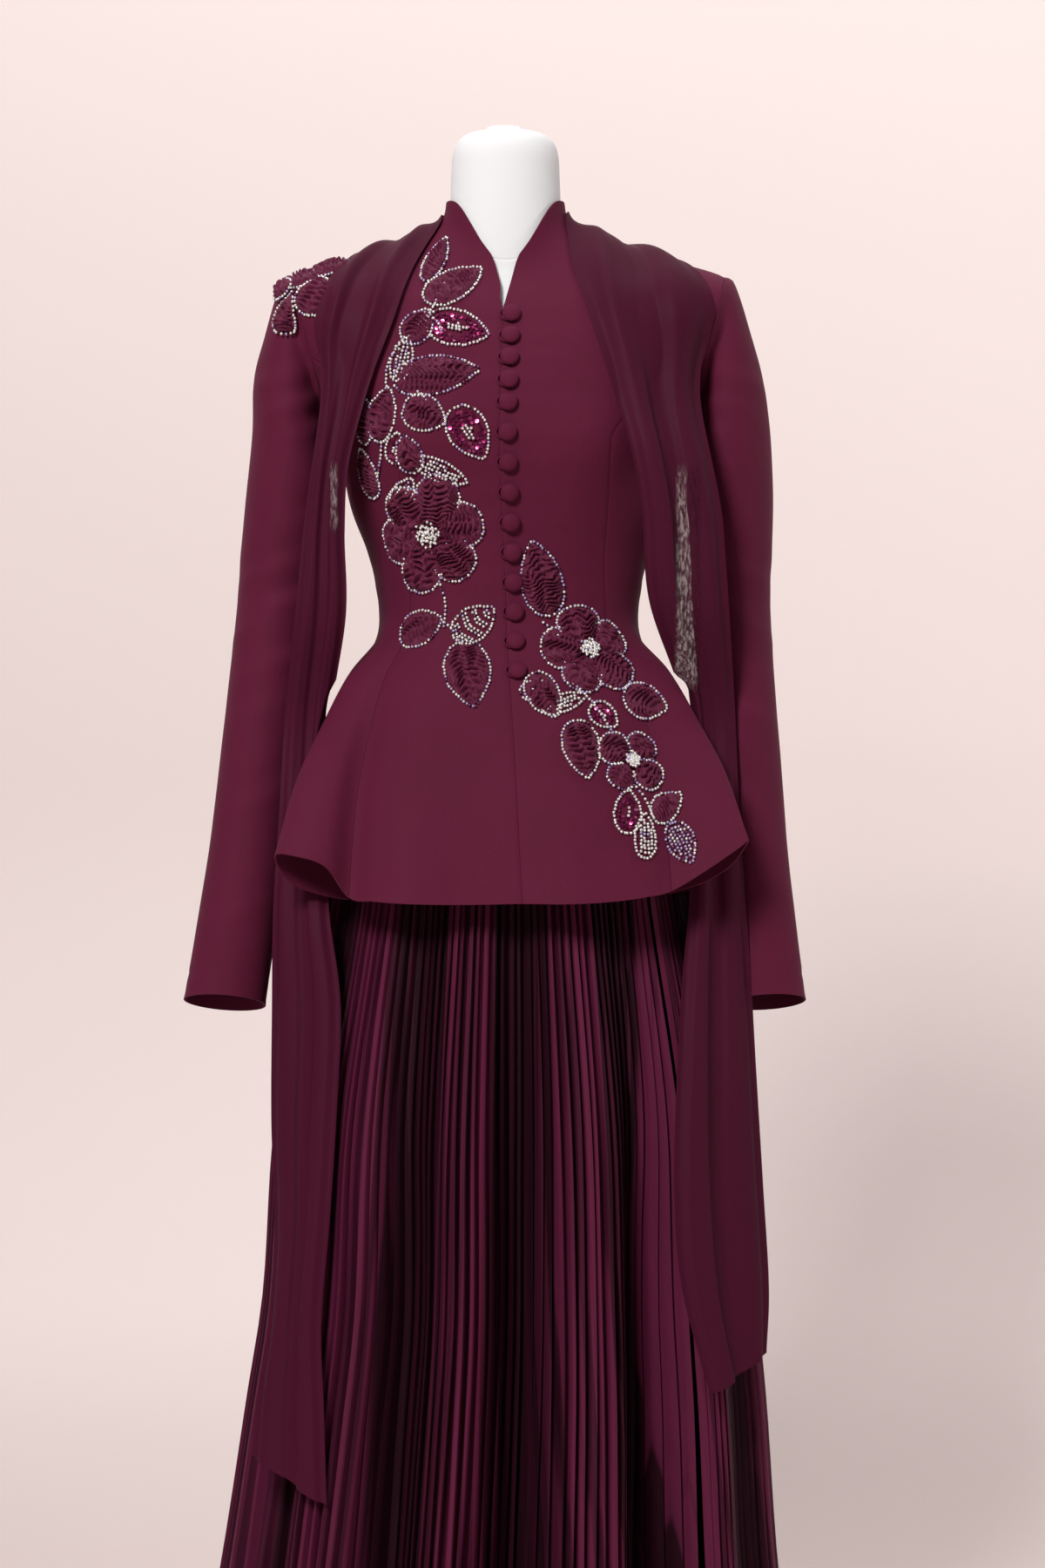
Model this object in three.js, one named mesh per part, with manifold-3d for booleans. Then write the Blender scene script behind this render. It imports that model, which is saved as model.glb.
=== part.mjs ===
// An evening gown on a limbless dress form: a fitted peplum jacket with a stand collar,
// set-in sleeves and covered buttons, a pleated floor-length skirt, a long scarf laid round
// the neck, and ruched flowers and leaves sewn on the jacket.
// Millimetres, +Z up, the wearer faces -Y. "left" and "right" are the wearer's own, so the
// right side has negative x. The origin is under the stand, on the floor.
import * as THREE from "three";
import { mergeVertices } from "three/addons/utils/BufferGeometryUtils.js";
import Module from "manifold-3d";

// Cloth and clearances.
const JACKET_WALL = 1.6;
const SCARF_WALL = 1.1;
const SKIRT_WALL = 1.0;
const BAND_WALL = 1.5;
const SEAM_GAP = 0.4;
const LAY_GAP = 0.75;
const HALF_TURN = 180;
const QUARTER_TURN = 90;

// Buttons down the front: a close upper run, then a wider pitch to the hip.
const BUTTON = { diameter: 17.5, height: 8, foot: 6.2, sit: 1.0, beside: 7.8, sides: 8 };
const BUTTON_TOP = 1331;
const BUTTON_RUNS = [
  { count: 5, pitch: 21 },
  { count: 9, pitch: 27.7 },
];

// Skirt.
const PLEATS = 120;
const PLEAT_RETURN = 0.28;
const SKIRT_TOP = 1032.6;
const BAND = { bottom: 1033, top: 1058 };
const SKIRT_SQUARE = 2.2;
const SOFT_FOLDS = { count: 12, valley: 4, second: 7, share: 0.45, deeper: 1 };

// Stand.
const STAND = { baseRadius: 185, baseEdge: 9, baseMiddle: 22, poleRadius: 13, collarRadius: 24 };
const FORM_BOTTOM = 0.25;
const FORM_BOTTOM_Z = 806;
const NECK_SEAM = 15.9;
const NECK_TOP = 1517;
const CAP = { radius: 20, height: 3.2 };

const BURGUNDY = 0x6b2344;
const PLUM = 0x5d2748;
const WINE = 0x571a38;
const CALICO = 0xeeeae4;
const STEEL = 0x9b9b9d;

// A table with named columns becomes a list of objects.
function table(columns, lines) {
  const names = columns.split(" ");
  return lines.map((line) => Object.fromEntries(names.map((name, i) => [name, line[i]])));
}

// The jacket's outer surface is a stack of closed rings, from the peplum hem to the collar.
// Each ring has its heights at front, side and back, its half width, its two depths, how
// square it is, how far its middle lies to one side, and the same for its front edge.
const RINGS = table("zFront zSide zBack half front back square shift edge", [
  [790, 790, 790, 198, 150, 150, 2.1, 0, 0],
  [870, 870, 870, 190, 139, 146, 2.1, 0, 0],
  [930, 930, 930, 175, 124, 135, 2.15, 0, 0],
  [990, 990, 990, 153, 109, 114, 2.2, 0, -1],
  [1030, 1030, 1030, 128.5, 98, 93, 2.2, 0, -2],
  [1062, 1062, 1062, 124.5, 94, 86, 2.2, 0, -2],
  [1110, 1110, 1110, 133.5, 98, 90, 2.2, 0, -4],
  [1157, 1157, 1157, 151, 106, 99, 2.25, 0, -6],
  [1218, 1216, 1218, 163.5, 114, 107, 2.35, 0, -8],
  [1268, 1262, 1268, 180, 110, 111, 2.6, 0, -7],
  [1304, 1312, 1318, 205, 99, 110, 2.9, 0, -6],
  [1324, 1352, 1352, 222, 91, 103, 3, -1, -4],
  [1338, 1377, 1374, 208, 85, 95, 2.8, -2, -3],
  [1350, 1395, 1392, 150, 78, 85, 2.5, -3, -2],
  [1361, 1411, 1408, 100, 70, 75, 2.3, -3, 0],
  [1373, 1424, 1424, 71, 62, 66, 2.1, -3, 0],
  [1392, 1435, 1438, 59.5, 56, 60, 2.05, -3, 0],
  [1442, 1449, 1464, 56.5, 52, 58, 2, -3, 0],
]);
const WAIST_RING = 5;
const COLLAR_RING = RINGS.length - 1;

// The form lies inside the jacket by this much at each ring.
const FORM_INSET = table("ring inset", [
  [0, 42], [1, 38], [2, 34], [3, 24], [4, 14], [4.4, 6], [WAIST_RING, 5.4], [5.7, 3.2],
  [9, 3.2], [10, 9.5], [12, 10.5], [13.5, 8], [15, 6], [COLLAR_RING, 3.8],
]);

// The peplum hem, one row for each crest and valley and the points that round them.
// Angles run from the front edge, 0, round the wearer's left side to the back, 180.
const HEM_LEFT = table("angle x y z", [
  [0, 13, -176, 784], [16, 58, -184, 784], [30, 98, -172, 786], [40, 128, -162, 790],
  [48, 150, -151, 795], [54, 180, -153, 813], [60, 208, -150, 832], [66, 222, -140, 841],
  [71, 206, -125, 817], [76, 178, -112, 800], [81, 150, -97, 791], [87, 172, -68, 793],
  [94, 183, -30, 799], [101, 194, 12, 808], [107, 236, 52, 815], [112, 240, 66, 815],
  [119, 216, 80, 806], [127, 184, 98, 796], [136, 172, 128, 800], [146, 150, 160, 806],
  [156, 108, 160, 798], [168, 58, 156, 793], [174, 28, 166, 795], [HALF_TURN, 0, 168, 796],
]);
const HEM_RIGHT = table("angle x y z", [
  [0, 13, -176, 784], [16, -44, -172, 783], [30, -92, -178, 784], [40, -124, -166, 786],
  [48, -146, -151, 789], [54, -166, -160, 817], [60, -194, -160, 827], [66, -215, -145, 827],
  [71, -205, -125, 804], [76, -178, -112, 791], [81, -149, -97, 785], [87, -172, -68, 791],
  [94, -186, -30, 797], [101, -200, 12, 806], [107, -232, 52, 812], [112, -236, 66, 812],
  [119, -214, 80, 804], [127, -184, 98, 796], [136, -172, 128, 800], [146, -150, 160, 806],
  [156, -108, 160, 798], [168, -58, 156, 793], [174, -28, 166, 795], [HALF_TURN, 0, 168, 796],
]);
const FLARE_POWER = 1.75;

// Bust cups, as a soft swell on each front.
const CUP = { angle: 33, spread: 19, z: 1212, rise: 42, out: 13 };

// Princess seams, front and back: the angle from the front edge at each ring.
const FRONT_SEAM = table("ring angle", [
  [0, 48], [3, 48], [WAIST_RING, 46], [7, 38], [8, 36], [9, 45], [9.7, 62], [10.5, 84],
]);
const BACK_SEAM = table("ring angle", [
  [0, 130], [3, 132], [WAIST_RING, 136], [7, 140], [8, 138], [9, 128], [9.7, 114], [10.5, 96],
]);
const YOKE_RING = 10.5;
const SLANT_RING = 9.1;
const SLANT_GAP = 0.9;

// The neckline: the ring at which each angle of the front ends, up to the collar's peak.
const NECKLINE = table("angle ring", [
  [0, 12.0], [4, 13.2], [9, 15.0], [16, 15.95], [26, 16.25], [38, 16.55], [52, 16.85],
  [66, COLLAR_RING], [QUARTER_TURN, COLLAR_RING - 0.06],
]);

// The armhole lies in a plane through the shoulder point and the armpit.
const ARMHOLE = { topX: 206, topZ: 1377, pitX: 166.5, pitZ: 1219, front: -6 };
const ARMPLATE_INSET = 2.2;

// Sleeves: each ring runs from an outer point to an inner point, with its middle and
// half depth front to back, and how much higher the front lies than the back.
const SLEEVE_COLUMNS = "outX outZ inX inZ mid depth tilt";
const CAP_RINGS = [
  [215, 1375, 168.5, 1211, 2, 66, 0],
  [223, 1354, 169, 1204, 1, 65, 0],
  [232, 1322, 169.5, 1196, 0, 64, 0],
  [243, 1280, 170, 1187, 0, 62, 0],
];
const SLEEVE_LEFT = table(SLEEVE_COLUMNS, [
  ...CAP_RINGS,
  [250, 1228, 170.5, 1174, 1, 60, 0],
  [253, 1172, 172.5, 1146, 3, 57, 2],
  [252, 1112, 175, 1100, 5, 54, 4],
  [251.5, 1050, 177, 1048, 4, 51, 7],
  [263, 860, 191, 862, -18, 43, 14],
  [271, 775, 199, 776, -32, 39, 17],
  [281, 689, 205.5, 685, -44, 34.5, 19],
]);
const SLEEVE_RIGHT = table(SLEEVE_COLUMNS, [
  ...CAP_RINGS,
  [245, 1228, 170, 1174, 1, 60, 0],
  [251, 1172, 173, 1146, 3, 57, 2],
  [257, 1112, 179, 1100, 5, 54, 4],
  [261.5, 1050, 185, 1048, 4, 51, 7],
  [281, 860, 206, 862, -18, 43, 14],
  [293, 775, 217, 776, -32, 39, 17],
  [306.5, 689, 229.5, 684, -44, 34.5, 19],
]);

// The skirt's ridges: heights, half width, depths, pleat depth, soft fold and side shift.
const SKIRT = table("z half front back pleat fold shift", [
  [SKIRT_TOP, 124, 93.8, 89, 2.6, 0, 0],
  [990, 145, 103, 106, 3, 0, 0],
  [930, 163, 114, 124, 3.6, 0, 0],
  [850, 174, 127, 134, 4.6, 2, 0],
  [790, 181, 137, 142, 5.2, 4.5, 0],
  [577, 225, 165, 172, 6.6, 8, 0],
  [404, 238, 184, 192, 7.6, 11, 0],
  [308, 250, 197, 205, 8.2, 12, -3],
  [143, 269, 224, 234, 9.2, 14, -10],
  [15, 291, 250, 262, 10, 15, -13],
]);

// The scarf: from station to station its inner and outer edges, how closely it follows the
// jacket (1 lies on it, 0 hangs free), its stand-off, and the height of its folds.
const SCARF_COLUMNS = "inX inY inZ outX outY outZ lies off fold";
const SCARF_NECK = table(SCARF_COLUMNS, [
  [-64, 52, 1440, -116, 50, 1402, 1, 1.2, 4],
  [-52, 66, 1440, -98, 82, 1388, 1, 1.2, 5],
  [-26, 76, 1438, -52, 100, 1372, 1, 0.9, 6],
  [-3, 80, 1438, -3, 106, 1366, 1, 0.9, 6],
  [20, 76, 1438, 46, 100, 1372, 1, 0.9, 6],
  [46, 66, 1440, 92, 82, 1388, 1, 1.2, 5],
  [58, 52, 1440, 112, 50, 1402, 1, 1.2, 4],
]);
const SCARF_END_RIGHT = table(SCARF_COLUMNS, [
  [-64, 51.2, 1440, -116, 49, 1402, 1, 0.9, 4],
  [-67, 12, 1440, -132, 14, 1402, 1, 1, 5],
  [-70, -26, 1430, -150, -24, 1384, 1, 1.6, 6],
  [-89, -62, 1380, -166, -48, 1350, 1, 3, 8],
  [-109, -92, 1316, -176, -70, 1312, 0.8, 6, 9],
  [-135, -108, 1250, -181, -90, 1262, 0.4, 7, 9],
  [-150, -112, 1190, -184, -98, 1205, 0.1, 7, 9],
  [-152, -108, 1125, -191, -96, 1130, 0, 6, 9],
  [-151, -102, 1050, -199, -92, 1050, 0, 6, 9],
  [-166, -62, 960, -210, -60, 960, 0, 6, 6],
  [-168, -76, 870, -215, -70, 868, 0, 6, 6],
  [-167, -101, 780, -220, -80, 776, 0, 6, 8],
  [-155, -122, 690, -221, -84, 680, 0, 6, 9],
  [-158, -138, 590, -221, -92, 580, 0, 6, 9],
  [-164, -150, 490, -217, -108, 480, 0, 6, 9],
  [-171, -158, 400, -221, -120, 400, 0, 6, 9],
  [-168, -168, 320, -231, -128, 332, 0, 6, 9],
  [-165, -178, 237, -236, -138, 276, 0, 6, 8],
]);
const SCARF_END_LEFT = table(SCARF_COLUMNS, [
  [58, 51.2, 1440, 112, 49, 1402, 1, 1.2, 4],
  [62, 12, 1440, 140, 14, 1400, 1, 1.4, 6],
  [58, -24, 1434, 166, -20, 1382, 1, 2, 7],
  [58, -50, 1388, 182, -46, 1354, 1, 2.4, 9],
  [74, -80, 1330, 188, -66, 1316, 0.9, 3, 10],
  [95, -106, 1264, 192, -86, 1266, 0.6, 5, 11],
  [114, -122, 1208, 196, -98, 1205, 0.2, 6, 11],
  [124, -120, 1145, 200, -98, 1138, 0, 6, 11],
  [131, -110, 1062, 206, -94, 1055, 0, 6, 11],
  [163, -64, 970, 213, -62, 966, 0, 6, 6],
  [166, -72, 880, 216.5, -68, 880, 0, 6, 6],
  [169, -96, 795, 221, -76, 800, 0, 6, 7],
  [162, -112, 715, 227, -74, 720, 0, 6, 9],
  [156, -130, 625, 232, -80, 625, 0, 6, 10],
  [153, -146, 520, 238, -86, 520, 0, 6, 10],
  [160, -152, 430, 243, -94, 425, 0, 6, 10],
  [186, -152, 333, 240, -106, 365, 0, 6, 8],
]);
const SCARF_FOLD = { waves: 2, lean: 2, columns: 11, least: 1.2, reach: 45 };
const SCARF_STEPS_NECK = [0.18, 1, 2, 3, 4, 5, 5.82];
const SCARF_STEPS_RIGHT = [0, 0.5, 1, 1.5, 2, 2.5, 3, 3.5, 4, 5, 6, 7, 8, 9, 10, 11, 12, 13, 14, 15, 16, 17];
const SCARF_STEPS_LEFT = [0, 0.5, 1, 1.5, 2, 2.5, 3, 3.5, 4, 5, 6, 7, 8, 9, 10, 11, 12, 13, 14, 15, 16];

// Ruched pieces sewn on the jacket, by the place of the middle seen from the front, the
// direction and size of each leaf, and which surface carries it.
const LEAVES = table("name x y z angle length width on", [
  ["leaf_collar", -68, -50, 1385, 74, 58, 17, "jacket"],
  ["leaf_neck", -51, -75, 1363, 38, 64, 32, "jacket"],
  ["leaf_chest_small", -84, -88, 1318, 60, 36, 26, "jacket"],
  ["leaf_chest_wide", -67, -105, 1272, 8, 78, 35, "jacket"],
  ["leaf_chest_outer", -113, -95, 1236, 76, 50, 29, "jacket"],
  ["leaf_bust", -77, -112, 1235, -24, 40, 32, "jacket"],
  ["leaf_side", -133, -75, 1184, 96, 46, 24, "jacket"],
  ["leaf_waist_round", -79, -75, 1037, 25, 44, 34, "jacket"],
  ["leaf_waist_hanging", -36, -100, 991, -78, 64, 40, "jacket"],
  ["leaf_bodice_left", 31, -97, 1084, 104, 70, 36, "jacket"],
  ["leaf_hip_inner", 33, -115, 973, -62, 46, 28, "jacket"],
  ["leaf_hip_outer", 126, -90, 968, -20, 42, 34, "jacket"],
  ["leaf_peplum", 68, -135, 925, -86, 56, 33, "jacket"],
  ["leaf_peplum_tip", 146, -135, 874, 38, 36, 24, "jacket"],
]);
const FLOWERS = table("name x y z turn radius petals on", [
  ["flower_waist_right", -71, -85, 1128, 12, 54, 6, "jacket"],
  ["flower_waist_left", 74, -90, 1016, 30, 45, 5, "jacket"],
  ["flower_peplum_left", 114, -125, 914, 50, 32, 4, "jacket"],
]);
const SHOULDER_LEAVES = table("name x y z angle length width on", [
  ["leaf_shoulder_low", -208, -56, 1336, 64, 38, 26, "sleeve"],
  ["leaf_shoulder_high", -206, -36, 1358, 10, 26, 18, "sleeve"],
]);
const RUCHE = { edge: 1.2, middle: 5.2, sit: { jacket: 0.6, sleeve: 3.2 } };

// Small maths.
const radians = (degrees) => (degrees * Math.PI) / 180;
const mix = (a, b, share) => a + (b - a) * share;
const clamp = (value, low, high) => Math.min(high, Math.max(low, value));
const smooth = (share) => share * share * (3 - 2 * share);
const add = (p, q, scale = 1) => p.map((value, i) => value + q[i] * scale);
const minus = (p, q) => p.map((value, i) => value - q[i]);
const dot = (p, q) => p[0] * q[0] + p[1] * q[1] + p[2] * q[2];
const length = (p) => Math.hypot(...p);
const unit = (p) => p.map((value) => value / (length(p) || 1));
const cross = (p, q) => [
  p[1] * q[2] - p[2] * q[1],
  p[2] * q[0] - p[0] * q[2],
  p[0] * q[1] - p[1] * q[0],
];
const blend = (p, q, share) => p.map((value, i) => mix(value, q[i], share));

// A smooth curve through one column of a table, along another, with cubic pieces.
function curve(rows, along, column, at) {
  const last = rows.length - 1;
  const where = clamp(at, rows[0][along], rows[last][along]);
  let i = 0;
  while (i < last - 1 && rows[i + 1][along] <= where) i += 1;
  const slope = (k) => {
    const low = Math.max(0, k - 1);
    const high = Math.min(last, k + 1);
    return (rows[high][column] - rows[low][column]) / (rows[high][along] - rows[low][along]);
  };
  const span = rows[i + 1][along] - rows[i][along];
  const s = (where - rows[i][along]) / span;
  const s2 = s * s;
  const s3 = s2 * s;
  return (
    (2 * s3 - 3 * s2 + 1) * rows[i][column] +
    (s3 - 2 * s2 + s) * span * slope(i) +
    (3 * s2 - 2 * s3) * rows[i + 1][column] +
    (s3 - s2) * span * slope(i + 1)
  );
}

// The same, in straight pieces.
function polyline(rows, along, column, at) {
  const last = rows.length - 1;
  const where = clamp(at, rows[0][along], rows[last][along]);
  let i = 0;
  while (i < last - 1 && rows[i + 1][along] <= where) i += 1;
  const share = (where - rows[i][along]) / (rows[i + 1][along] - rows[i][along]);
  return mix(rows[i][column], rows[i + 1][column], share);
}

const NUMBERED_RINGS = RINGS.map((row, ring) => ({ ...row, ring }));

// One point of a ring, before the bust cups and the peplum's flutes.
function ringPoint(angle, ring) {
  const value = (column) => curve(NUMBERED_RINGS, "ring", column, ring);
  const s = Math.sin(radians(angle));
  const c = Math.cos(radians(angle));
  const n = value("square");
  const m = (Math.abs(s) ** n + Math.abs(c) ** n) ** (1 / n);
  const depth = c > 0 ? value("front") : value("back");
  const endZ = c > 0 ? value("zFront") : value("zBack");
  const aside = value("shift") + value("edge") * Math.max(0, c) ** 3;
  return [aside + (value("half") * s) / m, (-depth * c) / m, value("zSide") * s * s + endZ * c * c];
}

function hemPoint(angle) {
  const rows = angle < 0 ? HEM_RIGHT : HEM_LEFT;
  return ["x", "y", "z"].map((column) => curve(rows, "angle", column, Math.abs(angle)));
}

// The jacket's outer surface at an angle from the front edge and a ring number.
function jacketPoint(angle, ring) {
  const turned = angle > HALF_TURN ? angle - 2 * HALF_TURN : angle;
  let p = ringPoint(turned, ring);
  if (ring < WAIST_RING) {
    const share = (1 - ring / WAIST_RING) ** FLARE_POWER;
    p = add(p, minus(hemPoint(turned), ringPoint(turned, 0)), share);
  }
  const aside = (Math.abs(turned) - CUP.angle) / CUP.spread;
  const above = (p[2] - CUP.z) / CUP.rise;
  const swell = CUP.out * Math.exp(-aside * aside - above * above);
  return [p[0], p[1] - swell, p[2]];
}

// The outward normal of a surface of two numbers.
function normalOf(surface, u, v, du, dv) {
  const along = minus(surface(u + du, v), surface(u - du, v));
  const up = minus(surface(u, v + dv), surface(u, v - dv));
  return unit(cross(along, up));
}
const jacketNormal = (angle, ring) =>
  normalOf(jacketPoint, angle, clamp(ring, 0.02, COLLAR_RING - 0.02), 0.4, 0.015);

// The point of a surface nearest to q: a coarse search, then a few Newton steps.
function nearestOn(surface, samples, q) {
  let best = samples[0];
  let least = Infinity;
  for (const sample of samples) {
    const d = length(minus(sample.p, q));
    if (d < least) {
      least = d;
      best = sample;
    }
  }
  let { u, v } = best;
  const { du, dv, vLow, vHigh } = samples.steps;
  for (let step = 0; step < 8; step += 1) {
    const p = surface(u, v);
    const pu = minus(surface(u + du, v), surface(u - du, v)).map((value) => value / (2 * du));
    const pv = minus(surface(u, v + dv), surface(u, v - dv)).map((value) => value / (2 * dv));
    const miss = minus(q, p);
    const [a, b, c] = [dot(pu, pu), dot(pu, pv), dot(pv, pv)];
    const [e, f] = [dot(pu, miss), dot(pv, miss)];
    const det = a * c - b * b || 1;
    u += clamp((c * e - b * f) / det, -6 * du, 6 * du);
    v = clamp(v + clamp((a * f - b * e) / det, -6 * dv, 6 * dv), vLow, vHigh);
  }
  return { u, v, p: surface(u, v) };
}

function sampleSurface(surface, us, vs, steps) {
  const samples = us.flatMap((u) => vs.map((v) => ({ u, v, p: surface(u, v) })));
  samples.steps = steps;
  return samples;
}

const range = (count) => Array.from({ length: count }, (_, i) => i);
const spaced = (from, to, count) => range(count).map((i) => mix(from, to, i / (count - 1)));

// Meshes. A grid of points becomes triangles; a wall is an outer grid and an inner one.
class Shell {
  constructor() {
    this.points = [];
    this.faces = [];
  }

  add(point) {
    this.points.push(point);
    return this.points.length - 1;
  }

  addGrid(grid) {
    return grid.map((row) => row.map((point) => this.add(point)));
  }

  quad(a, b, c, d) {
    this.faces.push([a, b, c], [a, c, d]);
  }

  // Joins two rows of vertices with quads; the row may be closed on itself.
  strip(low, high, closed) {
    const count = closed ? low.length : low.length - 1;
    for (let i = 0; i < count; i += 1) {
      const next = (i + 1) % low.length;
      this.quad(low[i], low[next], high[next], high[i]);
    }
  }

  // The same quads turned over and split the same way, so both faces of a wall bend alike.
  lining(low, high, closed) {
    const count = closed ? low.length : low.length - 1;
    for (let i = 0; i < count; i += 1) {
      const next = (i + 1) % low.length;
      this.quad(low[i], high[i], high[next], low[next]);
    }
  }

  fan(middle, row) {
    for (let i = 0; i < row.length; i += 1) {
      this.faces.push([middle, row[i], row[(i + 1) % row.length]]);
    }
  }

  geometry() {
    const geometry = new THREE.BufferGeometry();
    geometry.setAttribute("position", new THREE.Float32BufferAttribute(this.points.flat(), 3));
    geometry.setIndex(this.faces.flat());
    return geometry;
  }
}

// A wall open at its edges: rows run up, columns run round with the outside on the right.
function sheetWall(outer, inner) {
  const shell = new Shell();
  const out = shell.addGrid(outer);
  const back = shell.addGrid(inner);
  const last = out.length - 1;
  const end = out[0].length - 1;
  for (let r = 0; r < last; r += 1) {
    shell.strip(out[r], out[r + 1], false);
    shell.lining(back[r], back[r + 1], false);
    shell.quad(out[r][0], out[r + 1][0], back[r + 1][0], back[r][0]);
    shell.quad(out[r + 1][end], out[r][end], back[r][end], back[r + 1][end]);
  }
  shell.strip(back[0], out[0], false);
  shell.strip(out[last], back[last], false);
  return shell.geometry();
}

// A wall closed round its columns and open at both ends.
function tubeWall(outer, inner) {
  const shell = new Shell();
  const out = shell.addGrid(outer);
  const back = shell.addGrid(inner);
  const last = out.length - 1;
  for (let r = 0; r < last; r += 1) {
    shell.strip(out[r], out[r + 1], true);
    shell.lining(back[r], back[r + 1], true);
  }
  shell.strip(back[0], out[0], true);
  shell.strip(out[last], back[last], true);
  return shell.geometry();
}

// A solid closed at both ends by fans.
function solidStack(rows) {
  const shell = new Shell();
  const rings = shell.addGrid(rows);
  for (let r = 0; r < rings.length - 1; r += 1) shell.strip(rings[r], rings[r + 1], true);
  const middleOf = (row) => row.reduce((sum, p) => add(sum, p, 1 / row.length), [0, 0, 0]);
  shell.fan(shell.add(middleOf(rows[0])), [...rings[0]].reverse());
  shell.fan(shell.add(middleOf(rows[rows.length - 1])), rings[rings.length - 1]);
  return shell.geometry();
}

// Normals of a grid from its own neighbours, pointing to the outside.
function gridNormals(grid, closed) {
  const count = grid[0].length;
  const column = (c) => (closed ? (c + count) % count : clamp(c, 0, count - 1));
  const row = (r) => clamp(r, 0, grid.length - 1);
  return grid.map((line, r) =>
    line.map((_, c) => {
      const along = minus(grid[r][column(c + 1)], grid[r][column(c - 1)]);
      const up = minus(grid[row(r + 1)][c], grid[row(r - 1)][c]);
      return unit(cross(along, up));
    }),
  );
}
const moved = (grid, normals, distance) =>
  grid.map((line, r) => line.map((point, c) => add(point, normals[r][c], distance)));

const wasm = await Module();
wasm.setup();

function toManifold(geometry) {
  const plain = new THREE.BufferGeometry();
  plain.setAttribute("position", geometry.getAttribute("position"));
  plain.setIndex(geometry.getIndex());
  const merged = mergeVertices(plain.index ? plain : plain.toNonIndexed(), 1e-3);
  return new wasm.Manifold(
    new wasm.Mesh({
      numProp: 3,
      vertProperties: merged.getAttribute("position").array,
      triVerts: new Uint32Array(merged.index.array),
    }),
  );
}

function toGeometry(manifold) {
  const mesh = manifold.getMesh();
  const geometry = new THREE.BufferGeometry();
  geometry.setAttribute("position", new THREE.BufferAttribute(new Float32Array(mesh.vertProperties), 3));
  geometry.setIndex(new THREE.BufferAttribute(new Uint32Array(mesh.triVerts), 1));
  return geometry;
}

// The armhole plane of one side, and the block that clears everything outside it.
function armholeFrame(side, inset = 0) {
  const top = [side * ARMHOLE.topX, ARMHOLE.front, ARMHOLE.topZ];
  const pit = [side * ARMHOLE.pitX, ARMHOLE.front, ARMHOLE.pitZ];
  const up = unit(minus(top, pit));
  const out = unit([side * up[2], 0, -Math.abs(up[0])]);
  return { top: add(top, out, -inset), pit: add(pit, out, -inset), up, out };
}

function armholeBlock(side, inset = 0) {
  const { top, pit, up, out } = armholeFrame(side, inset);
  const reach = { out: 120, up: 90, down: inset ? 8 : 0, half: 130 };
  const corner = (point, rise, away, y) => {
    const p = add(add(point, up, rise), out, away);
    return [p[0], y, p[2]];
  };
  const outline = (y) => [
    corner(pit, -reach.down, 0, y),
    corner(pit, -reach.down, reach.out, y),
    corner(top, reach.up, reach.out, y),
    corner(top, reach.up, 0, y),
  ];
  const rows = side > 0 ? [outline(reach.half), outline(-reach.half)] : [outline(-reach.half), outline(reach.half)];
  return toManifold(solidStack(rows));
}

// Panels of the jacket.
const PEPLUM_ROWS = [0, 0.6, 1.3, 2.1, 3, 4];
const BODY_ROWS = [WAIST_RING, 5.7, 6.6, 7.3, 7.75, 8.2, 8.65, 9.2];
const CHEST_ROWS = [9.85, YOKE_RING];
const YOKE_ROWS = [11.3, 12, 12.8, 13.7, 14.6, 15.4, 16.2];

// One panel between two seams on one side; each column ends at its own height.
function jacketPanel({ side, from, to, rows, columns, topOf }) {
  const outer = [];
  const inner = [];
  const lastRing = rows[rows.length - 1];
  rows.forEach((ring) => {
    const a0 = from(ring);
    const a1 = to(ring);
    const pace = length(minus(jacketPoint(a1, ring), jacketPoint(a0, ring))) / Math.max(1, a1 - a0);
    const gap = ((ring > SLANT_RING ? SLANT_GAP : SEAM_GAP) / 2) / Math.max(0.3, pace);
    const line = spaced(a0 + gap, a1 - gap, columns + 1).map((angle) => {
      const top = topOf ? topOf(angle) : lastRing;
      const at = ring > YOKE_RING ? mix(YOKE_RING, top, (ring - YOKE_RING) / (lastRing - YOKE_RING)) : ring;
      const p = jacketPoint(side * angle, at);
      return { p, q: add(p, jacketNormal(side * angle, at), -JACKET_WALL) };
    });
    const ordered = side > 0 ? line : line.reverse();
    outer.push(ordered.map((point) => point.p));
    inner.push(ordered.map((point) => point.q));
  });
  return sheetWall(outer, inner);
}

const frontSeam = (ring) => (ring > YOKE_RING ? QUARTER_TURN : polyline(FRONT_SEAM, "ring", "angle", ring));
const backSeam = (ring) => (ring > YOKE_RING ? QUARTER_TURN : polyline(BACK_SEAM, "ring", "angle", ring));
const necklineAt = (angle) => polyline(NECKLINE, "angle", "ring", angle);
const FULL_ROWS = [...PEPLUM_ROWS, ...BODY_ROWS, ...CHEST_ROWS, ...YOKE_ROWS, COLLAR_RING];
const SIDE_ROWS = [...PEPLUM_ROWS, ...BODY_ROWS, ...CHEST_ROWS];

function jacketPanels(side, armhole) {
  const panel = (shape) => toGeometry(toManifold(jacketPanel({ side, ...shape })).subtract(armhole));
  return {
    front: panel({ from: () => 0, to: frontSeam, rows: FULL_ROWS, columns: 7, topOf: necklineAt }),
    side_front: panel({ from: frontSeam, to: () => QUARTER_TURN, rows: SIDE_ROWS, columns: 7 }),
    side_back: panel({ from: () => QUARTER_TURN, to: backSeam, rows: SIDE_ROWS, columns: 6 }),
    back: panel({
      from: backSeam,
      to: () => HALF_TURN,
      rows: FULL_ROWS,
      columns: 6,
      topOf: () => COLLAR_RING,
    }),
  };
}

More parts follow.
